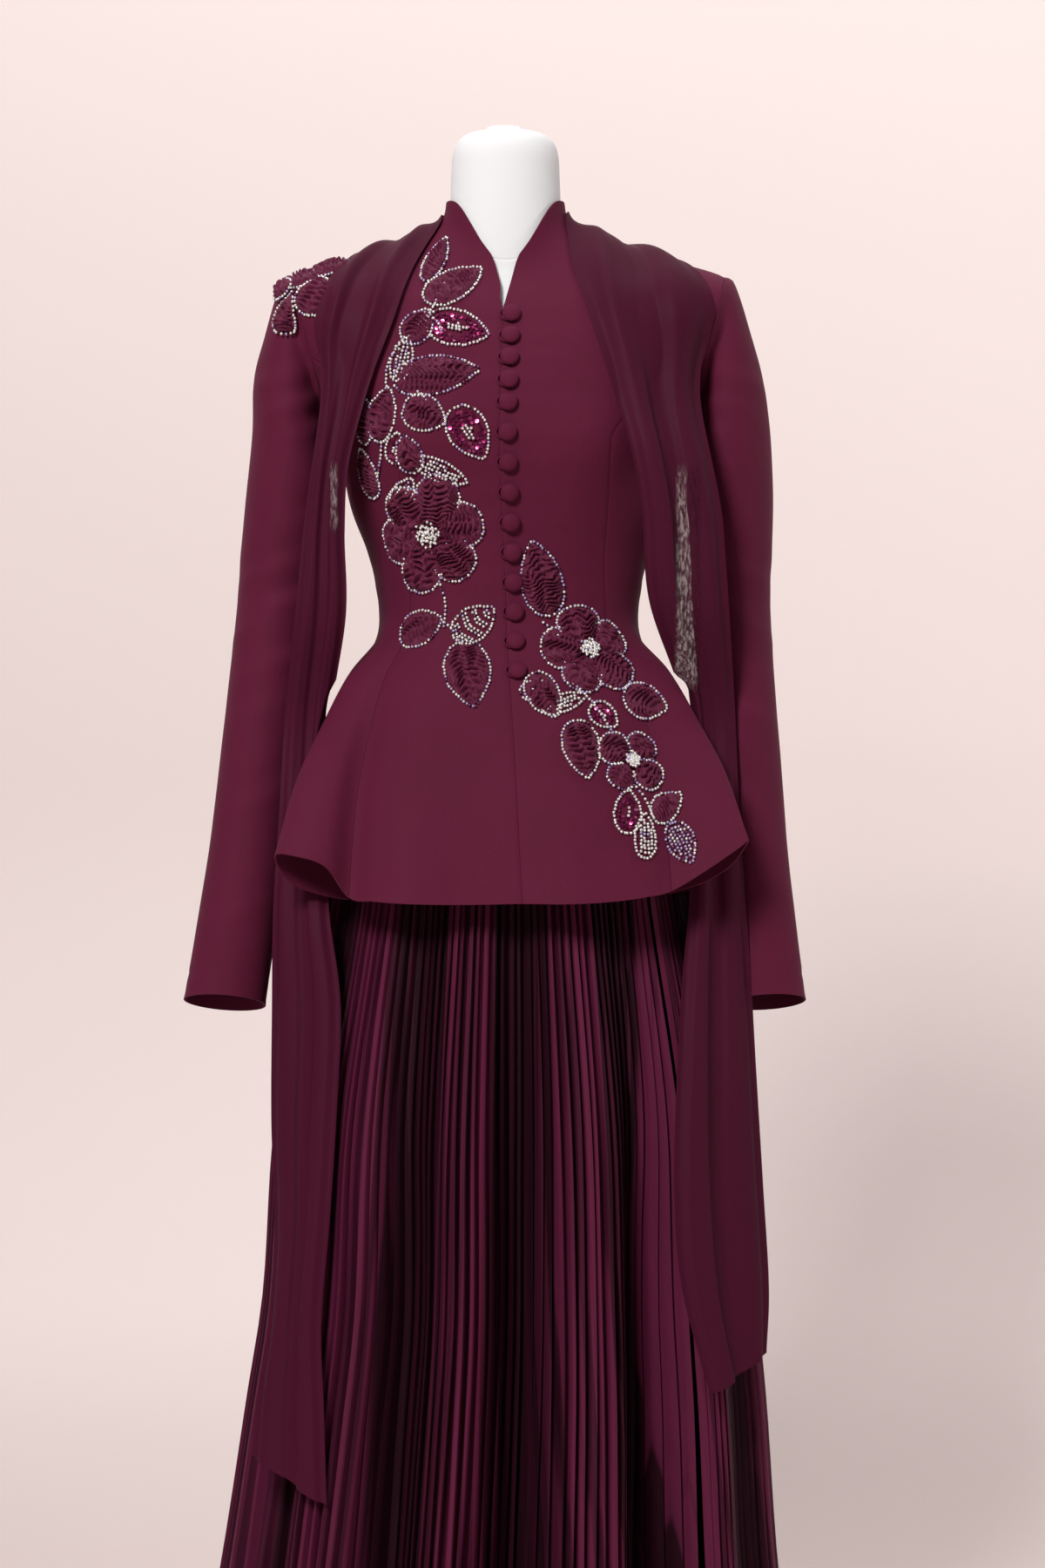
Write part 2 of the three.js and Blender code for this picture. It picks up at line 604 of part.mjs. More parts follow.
// The armhole's outline as radii round its middle, in the armhole plane.
const SLEEVE_COLUMNS_ROUND = 14;
function armholeOutline(side) {
  const { top, pit, up, out } = armholeFrame(side);
  const middle = blend(top, pit, 0.5);
  const radiusAt = (turn) => {
    const direction = add([0, -Math.sin(turn), 0], up, Math.cos(turn));
    let low = 10;
    let high = 130;
    for (let step = 0; step < 22; step += 1) {
      const radius = (low + high) / 2;
      const q = add(middle, direction, radius);
      const near = nearestOn(jacketPoint, JACKET_SAMPLES, q);
      const outside = dot(minus(q, near.p), jacketNormal(near.u, near.v)) > 0;
      if (outside) high = radius;
      else low = radius;
    }
    return low;
  };
  const turns = range(SLEEVE_COLUMNS_ROUND).map((i) => (2 * Math.PI * i) / SLEEVE_COLUMNS_ROUND);
  return { middle, up, out, turns, radii: turns.map(radiusAt) };
}

const JACKET_SAMPLES = sampleSurface(
  jacketPoint,
  spaced(-176, HALF_TURN, 90),
  spaced(0, COLLAR_RING, 70),
  { du: 0.4, dv: 0.015, vLow: 0.02, vHigh: COLLAR_RING },
);

const EDGE_SAMPLES = sampleSurface(jacketPoint, [0], spaced(0, 13, 80), {
  du: 1e-6, dv: 0.015, vLow: 0.02, vHigh: COLLAR_RING,
});

// A sleeve: the armhole outline, then rings that turn down to the arm and run to the cuff.
function sleeveGrid(side, rows) {
  const hole = armholeOutline(side);
  const halfHeight = length(minus([ARMHOLE.topX, 0, ARMHOLE.topZ], [ARMHOLE.pitX, 0, ARMHOLE.pitZ])) / 2;
  const firstDepth = rows[0].depth;
  const oval = (turn, high, deep) =>
    1 / Math.hypot(Math.cos(turn) / high, Math.sin(turn) / deep);
  const excess = hole.turns.map((turn, i) => hole.radii[i] / oval(turn, halfHeight, firstDepth));
  const start = hole.turns.map((turn, i) => {
    const direction = add([0, -Math.sin(turn), 0], hole.up, Math.cos(turn));
    return add(add(hole.middle, direction, hole.radii[i]), hole.out, SEAM_GAP);
  });
  const rings = rows.map((row, k) => {
    const outer = [side * row.outX, row.mid, row.outZ];
    const inner = [side * row.inX, row.mid, row.inZ];
    const middle = blend(outer, inner, 0.5);
    const half = minus(outer, middle);
    const easing = smooth(clamp(1 - (k + 1) / 5, 0, 1));
    return hole.turns.map((turn, i) => {
      const grow = mix(1, excess[i], easing);
      const forward = Math.sin(turn);
      const p = add(add(middle, half, Math.cos(turn) * grow), [0, -1, 0], forward * row.depth * grow);
      return add(p, [0, 0, 1], (row.tilt / 2) * forward);
    });
  });
  return [start, ...rings];
}

function sleeve(side, rows) {
  const grid = sleeveGrid(side, rows);
  const upward = grid.reverse().map((ring) => (side > 0 ? [...ring].reverse() : ring));
  const normals = gridNormals(upward, true);
  // The seam end follows the armhole plane, so its thickness stays in that plane.
  const { out } = armholeFrame(side);
  const seam = normals[normals.length - 1];
  normals[normals.length - 1] = seam.map((n) => unit(add(n, out, -dot(n, out))));
  const facing = dot(normals[2][0], minus(upward[2][0], upward[2][SLEEVE_COLUMNS_ROUND / 2])) > 0 ? 1 : -1;
  const inner = moved(upward, normals, -facing * JACKET_WALL);
  const geometry = tubeWall(upward, inner);
  return { geometry, upward };
}

// Buttons stand beside the front edge, on the wearer's left front.
function buttonHeights() {
  const heights = [BUTTON_TOP];
  BUTTON_RUNS.forEach(({ count, pitch }, run) => {
    range(run ? count : count - 1).forEach(() => heights.push(heights[heights.length - 1] - pitch));
  });
  return heights;
}

function buttonGeometry() {
  const { diameter, height, foot, sit } = BUTTON;
  const r = diameter / 2;
  const profile = [
    [0, 0], [foot, 0], [foot, sit + 1.4], [r, sit + 2.8], [r * 0.8, height * 0.82], [0, height],
  ];
  return new THREE.LatheGeometry(profile.map(([x, y]) => new THREE.Vector2(x, y)), BUTTON.sides);
}

// The point of the finished meshes over p, found by rays along the normal n.
const PROBE = 24;
const PROBE_SHIFTS = [0, 1.5, -1.5];
function onMeshes(near, n, meshes) {
  const inward = new THREE.Vector3(...n).negate();
  const heights = PROBE_SHIFTS.map((shift) => {
    const from = add(add(near.p, n, PROBE), [1, 0, 0], shift);
    const ray = new THREE.Raycaster(new THREE.Vector3(...from), inward, 0, 2 * PROBE);
    const [hit] = ray.intersectObjects(meshes);
    return hit ? PROBE - hit.distance : -PROBE;
  });
  return { p: add(near.p, n, Math.max(...heights)), n };
}

function jacketAt(x, z, guess) {
  const near = nearestOn(jacketPoint, JACKET_SAMPLES, [x, guess, z]);
  return onMeshes(near, jacketNormal(near.u, near.v), jacketMeshes);
}

function placeOn(mesh, p, n, stand) {
  const turn = new THREE.Quaternion().setFromUnitVectors(new THREE.Vector3(0, 1, 0), new THREE.Vector3(...n));
  mesh.quaternion.copy(turn);
  mesh.position.set(...add(p, n, stand));
  return mesh;
}

// A ruched piece: an outline carried onto its surface and domed towards the middle.
function ruchedPiece({ on, x: middleX, y: middleY, z: middleZ }, outline) {
  const surface = carriers[on];
  const sit = RUCHE.sit[on];
  const base = surface([middleX, middleY, middleZ]);
  const across = unit(cross([0, 0, 1], base.n));
  const upward = unit(cross(base.n, across));
  const at = (x, z, height) => {
    const near = surface(add(add(base.p, across, x), upward, z));
    return add(near.p, near.n, height);
  };
  const shell = new Shell();
  const rings = DOME.map(({ share, height }) =>
    outline.map(([x, z]) => shell.add(at(x * share, z * share, sit + height))),
  );
  const floor = outline.map(([x, z]) => shell.add(at(x, z, sit)));
  const inside = outline.map(([x, z]) => shell.add(at(x * 0.45, z * 0.45, sit)));
  rings.reduce((low, high) => {
    shell.strip(low, high, true);
    return high;
  });
  shell.strip(floor, rings[0], true);
  shell.strip(inside, floor, true);
  shell.fan(shell.add(at(0, 0, sit + RUCHE.middle)), rings[rings.length - 1]);
  shell.fan(shell.add(at(0, 0, sit)), [...inside].reverse());
  return shell.geometry();
}

const LEAF_SIDES = 10;
function leafOutline({ angle, length: long, width }) {
  const lean = radians(angle);
  return range(LEAF_SIDES).map((i) => {
    const turn = (2 * Math.PI * i) / LEAF_SIDES;
    const along = (Math.cos(turn) * long) / 2;
    const wide = (Math.sin(turn) * width) / 2 * (1 - 0.22 * Math.cos(turn));
    return [along * Math.cos(lean) - wide * Math.sin(lean), along * Math.sin(lean) + wide * Math.cos(lean)];
  });
}

function flowerOutline({ turn, radius, petals }) {
  const sides = petals * 4;
  return range(sides).map((i) => {
    const around = (2 * Math.PI * i) / sides;
    const lobe = 0.8 + 0.2 * Math.cos(petals * around);
    const where = around + radians(turn);
    return [radius * lobe * Math.cos(where), radius * lobe * Math.sin(where)];
  });
}

const DOME = [
  { share: 1, height: RUCHE.edge },
  { share: 0.6, height: RUCHE.middle },
];

// The scarf: each station runs from its inner edge to its outer edge in leaning folds.
function scarfGrid(rows, steps) {
  const numbered = rows.map((row, station) => ({ ...row, station }));
  return steps.map((station) => {
    const value = (column) => curve(numbered, "station", column, station);
    const inner = [value("inX"), value("inY"), value("inZ")];
    const outer = [value("outX"), value("outY"), value("outZ")];
    const chord = unit(minus(outer, inner));
    const level = unit([chord[1], -chord[0], 0]);
    const front = level[1] < 0 ? level : level.map((part) => -part);
    return spaced(0, 1, SCARF_FOLD.columns).map((share) => {
      const phase = 2 * Math.PI * SCARF_FOLD.waves * share;
      const rise = (value("fold") * (1 - Math.cos(phase))) / 2;
      const lean = SCARF_FOLD.lean * Math.sin(phase) * (value("fold") / 10);
      const q = add(blend(inner, outer, share), chord, lean);
      const near = nearestOn(jacketPoint, JACKET_SAMPLES, q);
      const normal = jacketNormal(near.u, near.v);
      const laid = add(near.p, normal, value("off") + SCARF_WALL + rise);
      const hung = add(q, front, rise);
      const p = blend(hung, laid, clamp(value("lies"), 0, 1));
      const off = dot(minus(p, near.p), normal);
      const needed = value("off") + SCARF_FOLD.least;
      const close = length(minus(q, near.p)) < SCARF_FOLD.reach && off < needed;
      return close ? add(p, normal, needed - off) : p;
    });
  });
}

function scarfPiece(rows, steps, reverse) {
  const grid = scarfGrid(rows, steps).map((line) => (reverse ? [...line].reverse() : line));
  const normals = gridNormals(grid, false);
  const facing = normals[2][7][1] < 0 || normals[2][7][2] > 0.2 ? 1 : -1;
  const half = (SCARF_WALL / 2) * facing;
  return facing > 0
    ? sheetWall(moved(grid, normals, half), moved(grid, normals, -half))
    : sheetWall(moved(grid, normals, -half).reverse(), moved(grid, normals, half).reverse());
}

// The skirt: knife pleats round rings that widen to the hem, in soft vertical folds.
function skirtPoint(turn, z, depth) {
  const value = (column) => curve(SKIRT_UP, "z", column, z);
  const s = Math.sin(turn);
  const c = Math.cos(turn);
  const width = value("half");
  const deep = c > 0 ? value("front") : value("back");
  const phase = turn - radians(SOFT_FOLDS.valley);
  const ripple =
    -Math.cos(SOFT_FOLDS.count * phase) + SOFT_FOLDS.share * Math.sin(SOFT_FOLDS.second * phase);
  const fold = value("fold") * (1 + SOFT_FOLDS.deeper * c * c);
  const inward = depth * value("pleat") + fold * (1 - ripple) * 0.5;
  const m = (Math.abs(s) ** SKIRT_SQUARE + Math.abs(c) ** SKIRT_SQUARE) ** (1 / SKIRT_SQUARE);
  const flat = [value("shift") + (width * s) / m, (-deep * c) / m, z];
  const outward = unit([s / width, -c / deep, 0]);
  return add(flat, outward, -inward);
}
const SKIRT_UP = [...SKIRT].reverse();
const SKIRT_ROWS = [15, 300, 600, 850, SKIRT_TOP];

// One skirt panel holds a run of whole pleats; its walls are the folds moved in.
function skirtPanel(first, count) {
  const pitch = (2 * Math.PI) / PLEATS;
  const start = -Math.PI / 4 + first * pitch;
  const spots = range(2 * count + 1).map((i) => ({
    turn: start + (Math.floor(i / 2) + (i % 2 ? 1 - PLEAT_RETURN : 0)) * pitch,
    depth: i % 2,
  }));
  const outer = SKIRT_ROWS.map((z) => spots.map(({ turn, depth }) => skirtPoint(turn, z, depth)));
  const shrink = (line, end, by) => add(line[end], unit(minus(line[Math.abs(end - 1)], line[end])), by);
  const trimmed = outer.map((line) => {
    const last = line.length - 1;
    const head = add(line[0], unit(minus(line[1], line[0])), SEAM_GAP);
    const tail = add(line[last], unit(minus(line[last - 1], line[last])), SEAM_GAP);
    return [head, ...line.slice(1, last), tail];
  });
  const inner = trimmed.map((line, r) =>
    line.map((point) => {
      const flat = [point[0] - polyline(SKIRT_UP, "z", "shift", SKIRT_ROWS[r]), point[1], 0];
      return add(point, unit(flat), -SKIRT_WALL * 1.35);
    }),
  );
  return sheetWall(trimmed, inner);
}

// The waistband lies between the form and the jacket.
function waistband() {
  const ringAt = (z) => {
    let low = 3;
    let high = 6;
    for (let step = 0; step < 24; step += 1) {
      const ring = (low + high) / 2;
      if (curve(NUMBERED_RINGS, "ring", "zSide", ring) < z) low = ring;
      else high = ring;
    }
    return low;
  };
  const rings = [BAND.bottom, BAND.top].map(ringAt);
  const gridAt = (inset) =>
    rings.map((ring) =>
      spaced(-HALF_TURN, HALF_TURN, FORM_COLUMNS + 1).slice(0, -1).map((angle) => {
        const n = jacketNormal(angle, ring);
        const level = unit([n[0], n[1], 0]);
        const p = add(jacketPoint(angle, ring), level, -inset);
        return [p[0], p[1], ringPoint(angle, ring)[2]];
      }),
    );
  const outside = JACKET_WALL + LAY_GAP * 0.7;
  return tubeWall(gridAt(outside), gridAt(outside + BAND_WALL));
}

// The dress form: a torso inside the jacket, a neck block, a cap, and its stand.
const FORM_COLUMNS = 24;
function formRing(ring, lift = 0) {
  const inset = polyline(FORM_INSET, "ring", "inset", ring);
  return spaced(-HALF_TURN, HALF_TURN, FORM_COLUMNS + 1)
    .slice(0, -1)
    .map((angle) => {
      const p = ringPoint(angle, ring);
      const aside = (Math.abs(angle) - CUP.angle) / CUP.spread;
      const above = (p[2] - CUP.z) / CUP.rise;
      const swell = CUP.out * Math.exp(-aside * aside - above * above);
      const n = normalOf(ringPoint, angle, clamp(ring, 0.02, COLLAR_RING - 0.02), 0.4, 0.015);
      const q = add([p[0], p[1] - swell, p[2]], n, -inset);
      return [q[0], q[1], q[2] + lift];
    });
}

function formTorso() {
  const rings = [FORM_BOTTOM, 2, 3, 4, 4.4, 5.2, 6.2, 7, 7.6, 8.2, 8.8, 9.5, 10.3, 11.1, 12, 13, 14.2, NECK_SEAM];
  const [lowest, ...upper] = rings.map((ring) => formRing(ring));
  return solidStack([lowest.map(([x, y]) => [x, y, FORM_BOTTOM_Z]), ...upper]);
}

function formNeck() {
  const low = formRing(NECK_SEAM, SEAM_GAP);
  const high = formRing(COLLAR_RING - 0.02, SEAM_GAP);
  const taper = table("z scale", [[1478, 0.98], [1495, 0.955], [1507, 0.86], [NECK_TOP, 0.5]]);
  const middle = high.reduce((sum, p) => add(sum, p, 1 / high.length), [0, 0, 0]);
  const upper = taper.map(({ z, scale }) =>
    high.map((p) => [middle[0] + (p[0] - middle[0]) * scale, middle[1] + (p[1] - middle[1]) * scale, z]),
  );
  return { geometry: solidStack([low, high, ...upper]), middle };
}

function lathe(profile, sides) {
  const geometry = new THREE.LatheGeometry(profile.map(([r, z]) => new THREE.Vector2(r, z)), sides);
  return geometry.rotateX(Math.PI / 2);
}

const cloth = (color, roughness) =>
  new THREE.MeshStandardMaterial({ color, roughness, metalness: 0, side: THREE.DoubleSide });
const crepe = cloth(BURGUNDY, 0.75);
const satin = cloth(PLUM, 0.55);
const chiffon = cloth(WINE, 0.7);
const cover = cloth(CALICO, 0.85);
const metal = new THREE.MeshStandardMaterial({ color: STEEL, roughness: 0.4, metalness: 0.9 });

const gown = new THREE.Group();
gown.name = "evening_gown";
function part(name, geometry, material) {
  const mesh = new THREE.Mesh(geometry, material);
  mesh.name = name;
  gown.add(mesh);
  return mesh;
}

const SIDES = [
  { name: "left", side: 1, sleeve: SLEEVE_LEFT },
  { name: "right", side: -1, sleeve: SLEEVE_RIGHT },
];
const jacketMeshes = [];
const carriers = { jacket: (q) => jacketAt(q[0], q[2], q[1]) };
for (const { name, side, sleeve: rows } of SIDES) {
  const panels = jacketPanels(side, armholeBlock(side));
  Object.entries(panels).forEach(([panel, geometry]) => {
    jacketMeshes.push(part(`jacket_${panel}_${name}`, geometry, crepe));
  });
  const made = sleeve(side, rows);
  const sleeveMesh = part(`sleeve_${name}`, made.geometry, crepe);
  if (side < 0) {
    const grid = made.upward;
    const closed = grid[0].length;
    const surface = (u, v) => {
      const r = clamp(Math.floor(v), 0, grid.length - 2);
      const c = Math.floor(u);
      const at = (row, column) => grid[row][((column % closed) + closed) % closed];
      return blend(blend(at(r, c), at(r, c + 1), u - c), blend(at(r + 1, c), at(r + 1, c + 1), u - c), v - r);
    };
    const samples = sampleSurface(surface, spaced(0, closed - 0.25, closed * 4), spaced(6, grid.length - 1, 30), {
      du: 0.05, dv: 0.05, vLow: 4, vHigh: grid.length - 1,
    });
    carriers.sleeve = (q) => {
      const near = nearestOn(surface, samples, q);
      const n = normalOf(surface, near.u, clamp(near.v, 0.1, grid.length - 1.1), 0.3, 0.3);
      return onMeshes(near, n, [sleeveMesh]);
    };
  }
}

buttonHeights().forEach((z, i) => {
  const [edgeX] = nearestOn(jacketPoint, EDGE_SAMPLES, [0, -120, z]).p;
  const { p, n } = jacketAt(edgeX + BUTTON.beside, z, -120);
  const mesh = part(`button_${String(i + 1).padStart(2, "0")}`, buttonGeometry(), crepe);
  placeOn(mesh, p, n, LAY_GAP * 0.8);
});

for (const leaf of [...LEAVES, ...SHOULDER_LEAVES]) {
  part(leaf.name, ruchedPiece(leaf, leafOutline(leaf)), crepe);
}
for (const flower of FLOWERS) {
  part(flower.name, ruchedPiece(flower, flowerOutline(flower)), crepe);
}

part("scarf_neck", scarfPiece(SCARF_NECK, SCARF_STEPS_NECK, false), satin);
part("scarf_end_right", scarfPiece(SCARF_END_RIGHT, SCARF_STEPS_RIGHT, false), satin);
part("scarf_end_left", scarfPiece(SCARF_END_LEFT, SCARF_STEPS_LEFT, true), satin);

const QUARTER = PLEATS / 4;
["front", "side_left", "back", "side_right"].forEach((name, i) => {
  part(`skirt_${name}`, skirtPanel(i * QUARTER, QUARTER), chiffon);
});
part("skirt_waistband", waistband(), chiffon);

const torso = toManifold(formTorso());
const trimmedTorso = SIDES.reduce((solid, { side }) => solid.subtract(armholeBlock(side, ARMPLATE_INSET)), torso);
part("form_torso", toGeometry(trimmedTorso), cover);
const neck = formNeck();
part("form_neck", neck.geometry, cover);
const cap = part("form_cap", lathe([[0, 0], [CAP.radius, 0], [CAP.radius * 0.9, CAP.height], [0, CAP.height]], 16), cover);
cap.position.set(neck.middle[0], neck.middle[1], NECK_TOP + SEAM_GAP);

const { baseRadius, baseEdge, baseMiddle, poleRadius, collarRadius } = STAND;
part("stand_base", lathe([
  [0, 0], [baseRadius, 0], [baseRadius, baseEdge], [baseRadius * 0.55, baseEdge * 1.35],
  [collarRadius, baseMiddle], [0, baseMiddle],
], 20), metal);
const poleFrom = baseMiddle + SEAM_GAP;
const poleTo = FORM_BOTTOM_Z - SEAM_GAP;
part("stand_pole", lathe([
  [0, poleFrom], [poleRadius, poleFrom], [poleRadius, poleTo - 40], [collarRadius, poleTo - 30],
  [collarRadius, poleTo], [0, poleTo],
], 12), metal);

export default gown;
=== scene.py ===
"""An evening gown on a limbless dress form, in Blender.

The jacket, sleeves, skirt, scarf, buttons and applique are made again in fine cloth over the solids of
the part's frame. Sizes in the tables are millimetres in the part's frame: +Z up, the gown faces -Y, and
"left" is the wearer's left, +X.
"""

import math

import bmesh
import bpy
import numpy as np
from bpy.props import FloatProperty, FloatVectorProperty, PointerProperty
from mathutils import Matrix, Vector


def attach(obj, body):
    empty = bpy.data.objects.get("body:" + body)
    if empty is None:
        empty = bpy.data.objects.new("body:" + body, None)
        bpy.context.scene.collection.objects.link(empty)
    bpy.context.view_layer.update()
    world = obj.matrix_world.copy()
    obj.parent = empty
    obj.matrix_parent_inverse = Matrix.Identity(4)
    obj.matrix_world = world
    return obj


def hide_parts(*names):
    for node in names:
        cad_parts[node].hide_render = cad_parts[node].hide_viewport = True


bl_info = {
    "name": "Evening Gown on a Form",
    "version": (1, 0, 0),
    "blender": (4, 5, 0),
    "location": "View3D > Sidebar > Gown",
    "description": "Builds a pleated evening gown with a peplum jacket, scarf and ruched applique",
    "category": "Object",
}

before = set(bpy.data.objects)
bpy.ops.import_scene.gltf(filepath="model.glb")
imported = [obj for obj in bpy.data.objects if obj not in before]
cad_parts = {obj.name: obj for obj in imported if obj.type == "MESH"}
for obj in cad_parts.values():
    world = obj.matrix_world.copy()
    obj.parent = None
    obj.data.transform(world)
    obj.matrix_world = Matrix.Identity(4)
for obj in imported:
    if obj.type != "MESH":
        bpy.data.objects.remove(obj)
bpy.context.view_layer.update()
MM = 0.001
TINY = 1e-12
WELD = 1e-6
NOISE_OCTAVES = 4
NOISE_TURN = 6.3
NOISE_SUM = 1.9
SHARP = 50


def table(columns, rows):
    """Named columns of a list of rows, each as an array."""
    return dict(zip(columns.split(), np.array(rows, float).T, strict=True))


# Jacket: rings from the peplum hem to the collar
RING_COLUMNS = "ring z_front z_side z_back half front back square shift edge"
RINGS = table(RING_COLUMNS, [
    (0, 790, 790, 790, 198, 150, 150, 2.1, 0, 0),
    (1, 870, 870, 870, 190, 139, 146, 2.1, 0, 0),
    (2, 930, 930, 930, 175, 124, 135, 2.15, 0, 0),
    (3, 990, 990, 990, 153, 109, 114, 2.2, 0, -1),
    (4, 1030, 1030, 1030, 128.5, 98, 93, 2.2, 0, -2),
    (5, 1062, 1062, 1062, 124.5, 94, 86, 2.2, 0, -2),
    (6, 1110, 1110, 1110, 133.5, 98, 90, 2.2, 0, -4),
    (7, 1157, 1157, 1157, 151, 106, 99, 2.25, 0, -6),
    (8, 1218, 1216, 1218, 163.5, 114, 107, 2.35, 0, -8),
    (9, 1268, 1262, 1268, 180, 110, 111, 2.6, 0, -7),
    (10, 1304, 1312, 1318, 205, 99, 110, 2.9, 0, -6),
    (11, 1324, 1352, 1352, 222, 91, 103, 3, -1, -4),
    (12, 1338, 1377, 1374, 208, 85, 95, 2.8, -2, -3),
    (13, 1350, 1395, 1392, 150, 78, 85, 2.5, -3, -2),
    (14, 1361, 1411, 1408, 100, 70, 75, 2.3, -3, 0),
    (15, 1373, 1424, 1424, 71, 62, 66, 2.1, -3, 0),
    (16, 1392, 1435, 1438, 59.5, 56, 60, 2.05, -3, 0),
    (17, 1442, 1449, 1464, 56.5, 52, 58, 2, -3, 0),
])
WAIST_RING = 5
YOKE_RING = 10.5
COLLAR_RING = 17
FLARE_POWER = 1.75
CUP = {"angle": 33, "spread": 19, "z": 1212, "rise": 42, "out": 13}

# Peplum hem, front edge to back
HEM_LEFT = table("angle x y z", [
    (0, 13, -176, 784), (16, 58, -184, 784), (30, 98, -172, 786), (40, 128, -162, 790),
    (48, 150, -151, 795), (54, 180, -153, 813), (60, 208, -150, 832), (66, 222, -140, 841),
    (71, 206, -125, 817), (76, 178, -112, 800), (81, 150, -97, 791), (87, 172, -68, 793),
    (94, 183, -30, 799), (101, 194, 12, 808), (107, 236, 52, 815), (112, 240, 66, 815),
    (119, 216, 80, 806), (127, 184, 98, 796), (136, 172, 128, 800), (146, 150, 160, 806),
    (156, 108, 160, 798), (168, 58, 156, 793), (174, 28, 166, 795), (180, 0, 168, 796),
])
HEM_RIGHT = table("angle x y z", [
    (0, 13, -176, 784), (16, -44, -172, 783), (30, -92, -178, 784), (40, -124, -166, 786),
    (48, -146, -151, 789), (54, -166, -160, 817), (60, -194, -160, 827), (66, -215, -145, 827),
    (71, -205, -125, 804), (76, -178, -112, 791), (81, -149, -97, 785), (87, -172, -68, 791),
    (94, -186, -30, 797), (101, -200, 12, 806), (107, -232, 52, 812), (112, -236, 66, 812),
    (119, -214, 80, 804), (127, -184, 98, 796), (136, -172, 128, 800), (146, -150, 160, 806),
    (156, -108, 160, 798), (168, -58, 156, 793), (174, -28, 166, 795), (180, 0, 168, 796),
])

# Seams and neckline
FRONT_SEAM = table("ring angle", [
    (0, 48), (3, 48), (5, 46), (7, 38), (8, 36), (9, 45), (9.7, 62), (10.5, 84),
])
BACK_SEAM = table("ring angle", [
    (0, 130), (3, 132), (5, 136), (7, 140), (8, 138), (9, 128), (9.7, 114), (10.5, 96),
])
NECKLINE = table("angle ring", [
    (0, 12.0), (1, 12.8), (2, 13.75), (3.5, 14.4), (6, 15.0), (9, 15.6), (12, 15.9), (16, 16.04),
    (24, 16.22), (38, 16.55), (52, 16.85), (66, 17), (90, 16.94),
])
ARMHOLE = {"top_x": 206, "top_z": 1377, "pit_x": 166.5, "pit_z": 1219, "front": -6}
JACKET_WALL = 1.6
JACKET_STEP = {"angle": 0.4, "ring": 0.015}
SEAM = {"gap": 0.12, "dip": 0.55, "reach": 1.5, "crowd": 0.65, "flat": 3, "least_pace": 0.3}
# Creases: height or angle of the middle, reach both ways, pitch and depth in millimetres and degrees
WAIST_CREASES = {"z": 1088, "rise": 26, "pitch": 5.4, "slant": 9, "angle": 92, "reach": 34, "deep": 0.55}
ARM_PULLS = {"z": 1290, "rise": 34, "angle": 74, "reach": 16, "pitch": 8, "deep": 0.8}
BUTTON_PULLS = {"z": 1180, "rise": 130, "angle": 2, "reach": 17, "deep": 0.45}
UNEVEN = {"across": 26, "up": 30, "seed": 5, "deep": 0.45}

# Sleeves: outer and inner point, middle and half depth, and the rise of the front
SLEEVE_COLUMNS = "out_x out_z in_x in_z mid depth tilt"
CAP_ROWS = [
    (215, 1375, 168.5, 1211, 2, 66, 0), (223, 1354, 169, 1204, 1, 65, 0),
    (232, 1322, 169.5, 1196, 0, 64, 0), (243, 1280, 170, 1187, 0, 62, 0),
]
SLEEVE_LEFT = table(SLEEVE_COLUMNS, [
    *CAP_ROWS,
    (250, 1228, 170.5, 1174, 1, 60, 0), (253, 1172, 172.5, 1146, 3, 57, 2),
    (252, 1112, 175, 1100, 5, 54, 4), (251.5, 1050, 177, 1048, 4, 51, 7),
    (263, 860, 191, 862, -18, 43, 14), (271, 775, 199, 776, -32, 39, 17),
    (281, 689, 205.5, 685, -44, 34.5, 19),
])
SLEEVE_RIGHT = table(SLEEVE_COLUMNS, [
    *CAP_ROWS,
    (245, 1228, 170, 1174, 1, 60, 0), (251, 1172, 173, 1146, 3, 57, 2),
    (257, 1112, 179, 1100, 5, 54, 4), (261.5, 1050, 185, 1048, 4, 51, 7),
    (281, 860, 206, 862, -18, 43, 14), (293, 775, 217, 776, -32, 39, 17),
    (306.5, 689, 229.5, 684, -44, 34.5, 19),
])

SLEEVE_GRID = {"columns": 64, "step": 6.0, "seam_gap": 0.4, "cap_rows": 5}
# The armhole's outline is searched for between these distances from its middle
ARMHOLE_SEARCH = {"least": 10.0, "most": 130.0, "halvings": 18}
# Creases on a sleeve: height, turn in degrees from the outer side towards the front, rise, reach, depth
SLEEVE_CREASES = [
    (1275, 60, 9, 40, 1.4), (1252, 100, 8, 46, 1.8), (1228, 130, 8, 40, 1.5), (1150, 150, 8, 50, 1.2),
    (1092, 70, 9, 48, 1.7), (1064, 105, 8, 56, 2.2), (1040, 60, 7, 40, 1.5), (1012, 120, 9, 50, 1.6),
    (960, 80, 10, 42, 1.0), (880, 110, 11, 46, 1.1), (1230, -70, 9, 44, 1.5), (1090, -90, 9, 50, 1.8),
    (1055, -120, 9, 50, 1.9), (1010, -70, 9, 44, 1.2), (905, -100, 11, 50, 1.0), (770, 90, 9, 46, 0.9),
]
CREASE = {"slant": 0.22, "after": 1.7, "hollow": 0.7, "fade": 0.6}
SLEEVE_UNEVEN = {"across": 30, "up": 40, "seed": {1: 11, -1: 12}, "deep": 0.6}
CUFF = {"deep": 0.5, "edge": 2, "stitch": 24, "stitch_width": 1.6}

